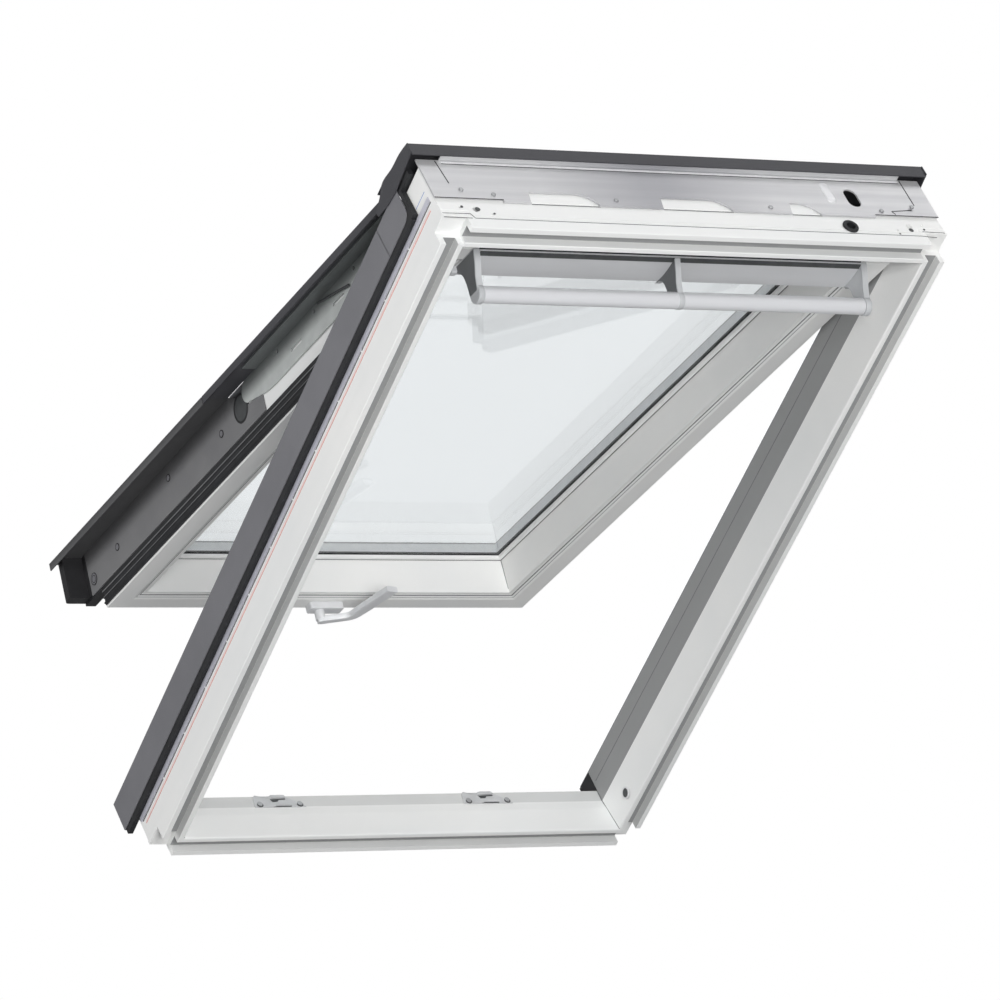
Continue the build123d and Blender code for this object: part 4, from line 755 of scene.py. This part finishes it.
class ROOFWINDOW_OT_outer_trim(Operator):
    """Make the cladding, seal and steel strip along both sides, and the ends of the hood"""
    bl_idname = "roof_window.outer_trim"
    bl_label = "Outer Trim"

    def execute(self, context):
        """Bent sheet profiles (x, n) carried up the slope, and outlines (u, n) carried across the sheet."""
        inner, wall = CLADDING_LEG
        low, high = CLADDING_LEVELS
        face, edge = STRIP_FACE, SEAL_EDGE
        channel = [(inner, low), (wall, low), (wall, high), (350.5, 116.3), (350.5, 114.8), (352, 114.8),
                   (inner, 125.3)]
        cap = [(383.5, low), (wall, low), (wall, high), (383.5, 123.6)]
        nose = [(inner, low), (wall, low), (wall, high), (383.5, 123.6), (383.5, 122.1), (inner, 125.3)]
        tail = rounded([(1057, low), (1128, low), (1128, high), (1057, high)], (0, 20, 0, 0), 9)
        strip = [(face, 60), (face + 1.2, 60), (face + 1.2, 68.2), (face, 68.2)]
        seal = [(face, 68.5), (edge, 68.5), (edge, 93), (edge - 1.5, 93), (edge - 1.5, 82), (face, 82)]
        turn = [(1128.3, 71), (1134.8, 71), (1134.8, 117), (1164, 117), (1164, 125), (1128.3, 125)]
        corner, size = (LENGTH + 15.5, 122), (-118.5, 35)
        wave = flowing(shares(HOOD_WAVE_SHARES, corner, size))
        wave = np.concatenate([wave, shares(HOOD_LOW_SHARES, corner, size)])
        for side, sign in SIDES:
            sheet = [run(channel, (3, 1058), on_frame, sign),
                     prism(tail, np.array((inner, wall)) * sign, on_frame),
                     run(cap, (-29, -27.5), on_frame, sign), run(nose, (-27.5, 3), on_frame, sign)]
            bars = [run(strip, (5, 1168), on_frame, sign)]
            # The black seal is drawn wider than the rubber, down into the shadow under the cladding, and its
            # turn runs on below the hood's end: partly real seal, partly painted shadow.
            lips = [run(seal, (-27.2, 1128.3), on_frame, sign),
                    prism(turn, np.array((face, edge)) * sign, on_frame)]
            ends = [prism(wave, np.array(HOOD_END) * sign, on_frame)]
            for name, grids, material, slot, node in (
                    ("side_sheet_", sheet, "charcoal", "cladding_grey", "frame_cladding_"),
                    ("edge_strip_", bars, "strip", "galvanised_steel", "side_strip_"),
                    ("edge_seal_and_shadow_", lips, "rubber", "rubber_black", "cladding_seal_"),
                    ("hood_cheek_", ends, "hood", "cladding_grey", "hood_end_")):
                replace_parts(skin(name + side, grids, material, "frame"), node + side)
        return {"FINISHED"}


class ROOFWINDOW_OT_sash_ends(Operator):
    """Make the tongue past each pivot, the dark well in it with a floor of painted shade, and the black end
    caps
    """
    bl_idname = "roof_window.sash_ends"
    bl_label = "Sash Ends"

    def execute(self, context):
        """Outlines (u, n) carried across the sheet, a turned well, and a round-cornered block with a foot."""
        inner, outer = SIDE_SHEET
        tongue = [(505, 82.5), (600, 82.5), (600, 108), (565, 112), (555, 114), (515, 145.5), (505, 148.5)]
        well = [(338.5, 22), (346.6, 22), (348.2, 21), (348.2, 18), (340, 17.4)]
        floor = [(outer + 0.1, 18.6), (outer + 0.4, 18.6)]
        block = rounded([(inner, -21), (379, -21), (379, -1.5), (inner, -1.5)], (0, 8, 0, 0), 7)
        foot = rounded([(329.8, -21), (345.6, -21), (345.6, 38), (329.8, 38)], 0.6, 3)
        plate = [(inner, -1.5), (outer, -1.5), (outer, 8.7), (inner, 8.7)]
        for side, sign in SIDES:
            sheet = prism(tongue, np.array((inner + 0.2, outer)) * sign, on_sash)
            skin("side_tongue_" + side, [sheet], "side_sheet", "sash")
            grids = [on_sash(carry(np.array(outline) * (sign, 1), np.outer((low, high), OUT), ACROSS, ALONG))
                     for outline, low, high in ((block, *CAP_LEVELS), (foot, 80, 97), (plate, *CAP_LEVELS))]
            piece = skin("corner_cap_" + side, grids, "black", "sash", smooth=True)
            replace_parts(piece, "end_cap_" + side)
        wells, floors = ([turned(np.array(line) * (sign, 1), WELL, on_sash) for sign in (-1, 1)]
                         for line in (well, floor))
        piece = skin("pivot_wells", wells, "black", "sash", smooth=True)
        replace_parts(piece, "pivot_cups")
        # The well's floor is a dark disc of painted shade.
        skin("well_floors", floors, "plug_and_shade", "sash")
        return {"FINISHED"}


class ROOFWINDOW_OT_plate(Operator):
    """Make the steel plate on the top face with its cut-outs, slot, boss, slits and rail lines"""
    bl_idname = "roof_window.plate"
    bl_label = "Top Plate"

    def execute(self, context):
        """Two outlines (x, n) that meet along the slot's middle, carried out of the face.

        The cut-outs have swept ends, and the boss shrinks step by step towards its crown."""
        slot, slot_low, slot_high, slot_r = 266.0, 69.0, 104.0, 10.0
        low, notch, crest, high, ear = 50, 54.6, 71.5, 127.5, 288
        lower = [(-HALF_WIDTH, notch), (-ear, notch), (-ear, low)]
        for left, right in CUT_OUTS:
            bite = [(left - 2, low), (left + 2, crest), (right - 16, crest), (right, low)]
            lower += rounded(bite, (1, 3.5, 18, 3), 7).tolist()
        lower = np.array(lower + [(ear, low), (ear, notch), (HALF_WIDTH, notch)])
        t = np.linspace(0, math.pi / 2, 7)
        arc = np.stack([slot_r * np.sin(t), slot_low + slot_r * (1 - np.cos(t))], -1)
        half = np.concatenate([arc, (0, slot_low + slot_high) + arc[::-1] * (1, -1)])
        before, after = lower[lower[:, 0] < slot], lower[lower[:, 0] > slot]
        grids = []
        for sign, edge in ((-1, before), (1, after[::-1])):
            outline = np.concatenate([[(sign * HALF_WIDTH, high)], edge, [(slot, low)],
                                      half * (sign, 1) + (slot, 0), [(slot, high)]])
            grids.append(on_frame(carry(outline, np.outer((LENGTH + 0.3, PLATE_TOP), ALONG), ACROSS, OUT)))
        piece = skin("plate_sheet", grids, "plate", "frame")
        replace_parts(piece, "top_plate")
        boss = rounded([(-7, -20), (7, -20), (7, 20), (-7, 20)], 6.9, 9)
        crown = carry(boss, np.outer(PLATE_TOP + np.array((-0.2, 1.4, 2)), ALONG), ACROSS, OUT)
        crown = crown * np.array((1, 0.92, 0.8))[:, None, None] ** (1, 0, 1) + (BOSS[0], 0, BOSS[1])
        skin("plate_boss", [on_frame(crown)], "boss", "frame", smooth=True)
        # The slits along n = 54 are painted shadow under the plate's raised ends.
        skin("plate_slits", score(PLATE_SLITS, PLATE_TOP + 0.05, 1.7), "rubber", "frame")
        path = np.array([(-354.0, PLATE_TOP, 0), (356.0, PLATE_TOP, 0)])
        for name, foot, lip, out, material in (
                ("rail_shadow", 119.8, 121.2, 0.25, "plug_and_shade"), ("rail_edge", 121.4, 124.8, 0.9, "boss")):
            profile = oval(lip - foot, 2 * out, 8, FLAT) + ((foot + lip) / 2, 0)
            grid = on_frame(carry(profile, path, OUT, ALONG))
            skin(name, [grid], material, "frame")
        return {"FINISHED"}


class ROOFWINDOW_OT_top_marks(Operator):
    """Make the lines, plugs and cable ring on the top face of the frame"""
    bl_idname = "roof_window.top_marks"
    bl_label = "Top Face Marks"

    def execute(self, context):
        """Thin ovals carried along straight paths in the face, short round plugs, and a wire ring."""
        face = LENGTH - 0.05
        # The lines along n = 50.4 across the cut-outs are painted shadow under the plate's lower edge.
        edges = tuple(((left, 50.4), (right, 50.4)) for left, right in CUT_OUTS)
        skin("top_face_lines", score(TOP_LINES + edges, face, 1.3), "plug_and_shade", "frame")
        plugs = []
        for x, n, r in TOP_PLUGS:
            path = np.array([(x, face - 0.4, n), (x, face + 0.25, n)])
            plugs.append(on_frame(carry(oval(2 * r, 2 * r, 20), path, ACROSS, OUT)))
        skin("top_face_plugs", plugs, "plug_and_shade", "frame")
        middle = np.array((CABLE[0], LENGTH + 1.7, CABLE[1]))
        grey = ring(middle, CABLE_R, (2.4, 1.4), ACROSS, OUT, on_frame, 32)
        skin("cable_ring", [grey], "nickel", "frame", wrap_rows=True, smooth=True)
        return {"FINISHED"}


class ROOFWINDOW_OT_sheet_rings(Operator):
    """Make the rings round the screws and plugs of the side sheets, and on the arms a dark bar of painted
    shadow and the cover's tail
    """
    bl_idname = "roof_window.sheet_rings"
    bl_label = "Sheet Rings and Arm Fittings"

    def execute(self, context):
        """Wire rings in the plane of the sheet, a dark bar of painted shadow, and the bent tail of the arm
        cover.
        """
        rod = context.scene.window_sizes.rod / MM
        tail = [(349, 147.2), (386.4, 147.2), (386.4, 139), (387.8, 139), (387.8, 148.4), (349, 148.4)]
        for side, sign in SIDES:
            grids = [ring(np.array((sign * RING_FACE, u, n)), r, (1.3, 0.9), ALONG, OUT, on_sash)
                     for u, n, r in SHEET_RINGS]
            skin("sheet_rings_" + side, grids, "black", "sash", wrap_rows=True)
            path = np.array([(sign * ARM_SHADOW_FACE, u, n) for u, n in ARM_SHADOW_BAR])
            painted_shadow_bar = on_sash(carry(oval(rod, rod * 0.6, 10), path, (0, 0.211, 0.977), ACROSS))
            skin("arm_shadow_bar_" + side, [painted_shadow_bar], "plug_and_shade", "lift_arms", smooth=True)
            grid = run(tail, (507, 610), on_sash, sign)
            skin("cover_tail_" + side, [grid], "hood", "lift_arms")
        return {"FINISHED"}


class ROOFWINDOW_OT_lever(Operator):
    """Make the cranked lever of the handle"""
    bl_idname = "roof_window.lever"
    bl_label = "Handle Lever"

    def execute(self, context):
        """Superellipse section, growing wider along the path, carried round a soft elbow; a round hub above.

        The elbow e lies between points a and b on its limbs: (1-t)^2 a + 2t(1-t) e + t^2 b."""
        start, elbow, tip = np.array((LEVER_SPOT, LEVER_ELBOW, LEVER_TIP))
        t = np.linspace(0, 1, 9)[:, None]
        before, after = elbow + (start - elbow) * 0.22, elbow + (tip - elbow) * 0.10
        bend = (1 - t) ** 2 * before + 2 * t * (1 - t) * elbow + t ** 2 * after
        path = np.concatenate([[start - (5, 1.5)], [start], bend, [elbow + (tip - elbow) * 0.35], [tip]])
        ahead = np.gradient(path, axis=0)
        ahead /= np.linalg.norm(ahead, axis=1, keepdims=True)
        side = np.stack([-ahead[:, 1], ahead[:, 0], np.zeros(len(path))], -1)
        wide = np.concatenate([[9.0, 13.0], np.linspace(12.0, 17.0, 9), [19.5, 20.5]])
        section = oval(1.0, 9.0, 24, BOXY)
        origins = np.concatenate([path, np.full((len(path), 1), LEVER_LEVEL)], 1)
        grid = origins[:, None] + (wide[:, None] * section[:, 0])[..., None] * side[:, None]
        grid = grid + section[None, :, 1:] * OUT
        hub_top, hub_wide = 37.8, 15.0
        ends = np.array([(*LEVER_SPOT, LEVER_LEVEL), (*LEVER_SPOT, hub_top)])
        hub = carry(oval(hub_wide, hub_wide, 28), ends, ACROSS, ALONG)
        piece = skin("lever_grip", [on_sash(grid), on_sash(hub)], "lever", "handle",
                     smooth=True)
        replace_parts(piece, "handle_lever")
        return {"FINISHED"}


class ROOFWINDOW_OT_strikers(Operator):
    """Make the two strikers on the sill"""
    bl_idname = "roof_window.strikers"
    bl_label = "Strikers"

    def execute(self, context):
        """Outlines (x, n) carried out of the sill's inner face: plate, hooked lip and wedge, and dark strips of
        painted shadow under the lip and at the wedge's foot.
        """
        face = SILL_FACE + 0.3
        plate = [(-41, 56), (41, 56), (12, 77), (-30, 77), (-34, 79), (-38, 77)]
        plate = rounded(plate, (2, 1, 6, 1, 2, 4), 5)
        lip = rounded([(-15, 72.5), (-11, 70.5), (12, 72), (10, 76.5), (-12, 76.5)], (1, 2, 1, 2, 2), 5)
        wedge = rounded([(-8, 57.5), (18, 57.5), (12, 67), (2, 67)], (0.5, 0.5, 2, 2), 5)
        lip_shadow = [(-14, 74), (-10, 65.5), (-2, 66), (1, 69.5), (12, 70), (11, 74)]
        foot = [(-12, 56), (17, 56), (18, 58), (-3, 58.2)]
        for side, x in STRIKERS:
            solid, dark = (
                [on_frame(carry(outline, [(x, face + low, 0), (x, face + high, 0)], ACROSS, OUT))
                 for outline, low, high in group]
                for group in (((plate, 0, 1.5), (lip, 1.4, 4.6), (wedge, 1.4, 3.6)),
                              ((lip_shadow, 1.3, 1.8), (foot, 1.3, 1.9))))
            piece = skin("striker_plate_" + side, solid, "striker", "frame")
            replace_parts(piece, "striker_" + side)
            skin("striker_shadow_" + side, dark, "plug_and_shade", "frame")
            rings = [ring(np.array((x + step, face + 2.2, 60.3)), 4.0, (1.7, 1.0), ACROSS, OUT, on_frame)
                     for step in (-32.0, 32.0)]
            skin("striker_rings_" + side, rings, "plug_and_shade", "frame", wrap_rows=True)
        return {"FINISHED"}


class ROOFWINDOW_OT_seams(Operator):
    """Make the seams in the mitres, the joint lines in the rebate and on the seal, and the painted shade in the
    bolt hole
    """
    bl_idname = "roof_window.seams"
    bl_label = "Seams"

    def execute(self, context):
        """Thin rods laid in the inner corners and along the walls, and a dark disc of painted shade over the
        bolt's bore.
        """
        wire = context.scene.window_sizes.seam / MM
        wire = oval(wire, wire, 8)
        low, high = (round_rectangle(SASH_HALF - d, SASH_LOW + d, SASH_HIGH - d)[0] for d in (45.3, 49.0))
        paths = np.stack([low + (0, 0, 58.5), high + (0, 0, 103)], 1)
        grids = [on_sash(carry(wire, path, ACROSS, ALONG)) for path in paths]
        skin("sash_seams", grids, "groove", "sash")
        inner, head = HALF_WIDTH - REBATE - 0.2, LENGTH - REBATE
        sill_path = [(inner + 5, SILL_FACE + 1.2, 1), (inner, SILL_FACE + 0.6, SPLAY_TOP),
                     (inner, SILL_FACE + 0.4, 77.5)]
        head_path = [(inner + 5, head + 4.8, 1), (inner, head - 0.2, SPLAY_TOP)]
        grids = [on_frame(carry(wire, np.array(path) * (sign, 1, 1), ACROSS, ALONG))
                 for sign in (-1, 1) for path in (sill_path, head_path)]
        skin("frame_seams", grids, "groove", "frame")
        for side, sign in SIDES:
            line = stripe(sign * (inner + 0.1), (42, 1030), 91, 0.5, 1.0, on_frame)
            skin("rebate_line_" + side, [line], "groove", "frame")
            grids = [stripe(sign * SEAL_FACE, (42, 1060), level, 0.7, tall, on_sash)
                     for level, tall in ((73.0, 1.6), (64.0, 0.9))]
            skin("seal_lines_" + side, grids, "side_sheet", "sash")
        hole = turned([(350.5, 6.6), (350.8, 6.6)], BOLT, on_frame)
        skin("bolt_hole", [hole], "plug_and_shade", "frame")
        return {"FINISHED"}


class ROOFWINDOW_OT_side_lines(Operator):
    """Make the thin lines and dashes along both sides of the frame"""
    bl_idname = "roof_window.side_lines"
    bl_label = "Side Lines"

    def execute(self, context):
        """Flat ovals carried up each side, half sunk into the white member; the dashes repeat along u."""
        # Soft PVC gives each line a flat tone with little shine.
        pvc = (60, 1.0, 0.01, 0.5, 0.05)
        MADE["red"] = coat("pvc_line_red", context.scene.window_colours.cord, "#d98a82", *pvc)
        MADE["pink"] = coat("pvc_line_pink", "#f3dfdc", "#efd6d2", *pvc)
        MADE["blue"] = coat("pvc_line_blue", "#7d93c4", "#8b9fcb", *pvc)
        width = context.scene.window_sizes.line / MM
        whole, starts = [(14, 1160)], np.arange(8.0, 1160.0, 90.0)
        dashes = np.stack([starts, np.minimum(starts + 87.0, 1168.0)], -1)
        for side, sign in SIDES:
            for name, level, tall, spans, material, slot in (
                    ("band", 52.3, 3.6, whole, "pink", "coated_white"),
                    ("sealing_line", 50.2, width, whole, "red", "coated_white"),
                    ("dark_line", 58.6, 1.5, dashes, "rubber", "rubber_black"),
                    ("mark", 80.5, 1.0, [(1136, 1166)], "blue", "coated_white")):
                grids = [stripe(sign * (HALF_WIDTH - SIDE_STEP), span, level, 0.6, tall, on_frame)
                         for span in spans]
                skin(name + "_" + side, grids, material, "frame")
        return {"FINISHED"}


class ROOFWINDOW_OT_screw_drives(Operator):
    """Make black stars of painted shade for the recesses of the visible screws"""
    bl_idname = "roof_window.screw_drives"
    bl_label = "Screw Drives"

    def execute(self, context):
        """Six-lobed plug r = R (1 + 0.22 cos 6t), carried a little way out of each head; its black is painted
        shade for the recess.
        """
        t = np.linspace(0, 2 * math.pi, 24, endpoint=False)
        star = np.stack([np.cos(t), np.sin(t)], -1) * (1 + 0.22 * np.cos(6 * t))[:, None]
        up = np.array((0, -math.sin(PITCH), math.cos(PITCH)))
        out = np.array((0, math.cos(PITCH), math.sin(PITCH)))
        grids = []
        for middle in centres("plate_screws", 8.0):
            ends = middle + np.outer((1.0, 1.18), up) * MM
            grids.append(carry(star * 1.5 * MM, ends, ACROSS, out))
        skin("plate_screw_drives", grids, "black", "frame")
        return {"FINISHED"}


class ROOFWINDOW_OT_stage(Operator):
    """Make the camera, floor, world and lights"""
    bl_idname = "roof_window.stage"
    bl_label = "Stage"

    def execute(self, context):
        """Camera at the photograph's place, pale floor and soft boxes."""
        scene = context.scene
        scene.view_settings.view_transform = "Standard"
        camera = bpy.data.objects.new("camera", bpy.data.cameras.new("camera"))
        scene.collection.objects.link(camera)
        camera.data.sensor_width = 36.0
        camera.data.lens = CAMERA_LENS
        camera.data.clip_end = 100.0
        camera.location = CAMERA_SPOT
        camera.rotation_mode = "QUATERNION"
        camera.rotation_quaternion = Vector(CAMERA_AIM).to_track_quat("-Z", "Y")
        scene.camera = camera

        world = bpy.data.worlds.new("studio")
        scene.world = world
        tree = cleared(world)
        # Rays that reach the camera meet plain white; the light itself is a soft sky, brighter above.
        sky = put(tree, "ShaderNodeTexCoord").outputs["Generated"]
        height = put(tree, "ShaderNodeSeparateXYZ", {0: sky}).outputs["Z"]
        level = put(tree, "ShaderNodeMapRange", {
            "Value": height, "From Min": -0.6, "From Max": 0.6, "To Min": 0.17, "To Max": 0.34}).outputs[0]
        soft = put(tree, "ShaderNodeBackground", {"Color": linear("#fbfcff"), "Strength": level}).outputs[0]
        plain = put(tree, "ShaderNodeBackground", {"Color": (1, 1, 1, 1), "Strength": 1.0}).outputs[0]
        both = put(tree, "ShaderNodeMixShader", {0: seen_rays(tree), 1: soft, 2: plain}).outputs[0]
        put(tree, "ShaderNodeOutputWorld", {"Surface": both})

        for name, spot, power, size in SOFT_BOXES:
            lamp = bpy.data.lights.new(name, "AREA")
            lamp.energy = power
            lamp.size = size
            light = bpy.data.objects.new(name, lamp)
            scene.collection.objects.link(light)
            light.location = spot
            aim = Vector(LIGHT_AIM) - Vector(spot)
            light.rotation_euler = aim.to_track_quat("-Z", "Y").to_euler()
            light.visible_camera = False

        low = min(corner[2] for corner in CAD_BOX)
        t = np.linspace(0, 2 * math.pi, 64, endpoint=False)
        disc = np.stack([FLOOR_R * np.cos(t), FLOOR_R * np.sin(t), np.full_like(t, low - FLOOR_DROP)], -1)
        mesh = bpy.data.meshes.new("floor")
        mesh.from_pydata(disc.tolist(), [], [list(range(len(t)))])
        floor = bpy.data.objects.new("floor", mesh)
        scene.collection.objects.link(floor)
        paint = bpy.data.materials.new("floor_pale")
        # Matt paint sends soft light up; the camera itself sees plain white.
        tree = cleared(paint)
        matt = put(tree, "ShaderNodeBsdfDiffuse", {"Color": linear("#bdbdbd")}).outputs[0]
        glow = put(tree, "ShaderNodeEmission", {"Color": (1, 1, 1, 1), "Strength": 1.0}).outputs[0]
        both = put(tree, "ShaderNodeMixShader", {0: seen_rays(tree), 1: matt, 2: glow}).outputs[0]
        put(tree, "ShaderNodeOutputMaterial", {"Surface": both})
        mesh.materials.append(paint)
        return {"FINISHED"}


STEPS = (ROOFWINDOW_OT_members, ROOFWINDOW_OT_cladding, ROOFWINDOW_OT_metal, ROOFWINDOW_OT_mouldings,
         ROOFWINDOW_OT_glass, ROOFWINDOW_OT_glass_edge, ROOFWINDOW_OT_gaskets, ROOFWINDOW_OT_vent,
         ROOFWINDOW_OT_outer_trim, ROOFWINDOW_OT_sash_ends, ROOFWINDOW_OT_plate, ROOFWINDOW_OT_top_marks,
         ROOFWINDOW_OT_sheet_rings, ROOFWINDOW_OT_lever, ROOFWINDOW_OT_strikers, ROOFWINDOW_OT_seams,
         ROOFWINDOW_OT_side_lines, ROOFWINDOW_OT_screw_drives, ROOFWINDOW_OT_stage)


class ROOFWINDOW_PT_panel(Panel):
    """Sidebar list of the steps, sizes and colours"""
    bl_idname = "ROOFWINDOW_PT_panel"
    bl_label = "Roof Window"
    bl_space_type = "VIEW_3D"
    bl_region_type = "UI"
    bl_category = "Roof Window"

    def draw(self, context):
        """Sizes and colours, then one button for each step."""
        for group in (context.scene.window_sizes, context.scene.window_colours):
            for name in group.bl_rna.properties.keys():
                if name not in ("rna_type", "name"):
                    self.layout.prop(group, name)
        for step in STEPS:
            self.layout.operator(step.bl_idname)


CLASSES = (WindowColours, WindowSizes) + STEPS + (ROOFWINDOW_PT_panel,)


def register():
    """Make the classes and their settings known to Blender."""
    for item in CLASSES:
        bpy.utils.register_class(item)
    bpy.types.Scene.window_colours = PointerProperty(type=WindowColours)
    bpy.types.Scene.window_sizes = PointerProperty(type=WindowSizes)


def unregister():
    """Take them away again."""
    del bpy.types.Scene.window_sizes
    del bpy.types.Scene.window_colours
    for item in reversed(CLASSES):
        bpy.utils.unregister_class(item)


def main():
    """Register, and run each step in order."""
    register()
    for step in STEPS:
        group, name = step.bl_idname.split(".")
        getattr(getattr(bpy.ops, group), name)()


if __name__ == "__main__":
    main()
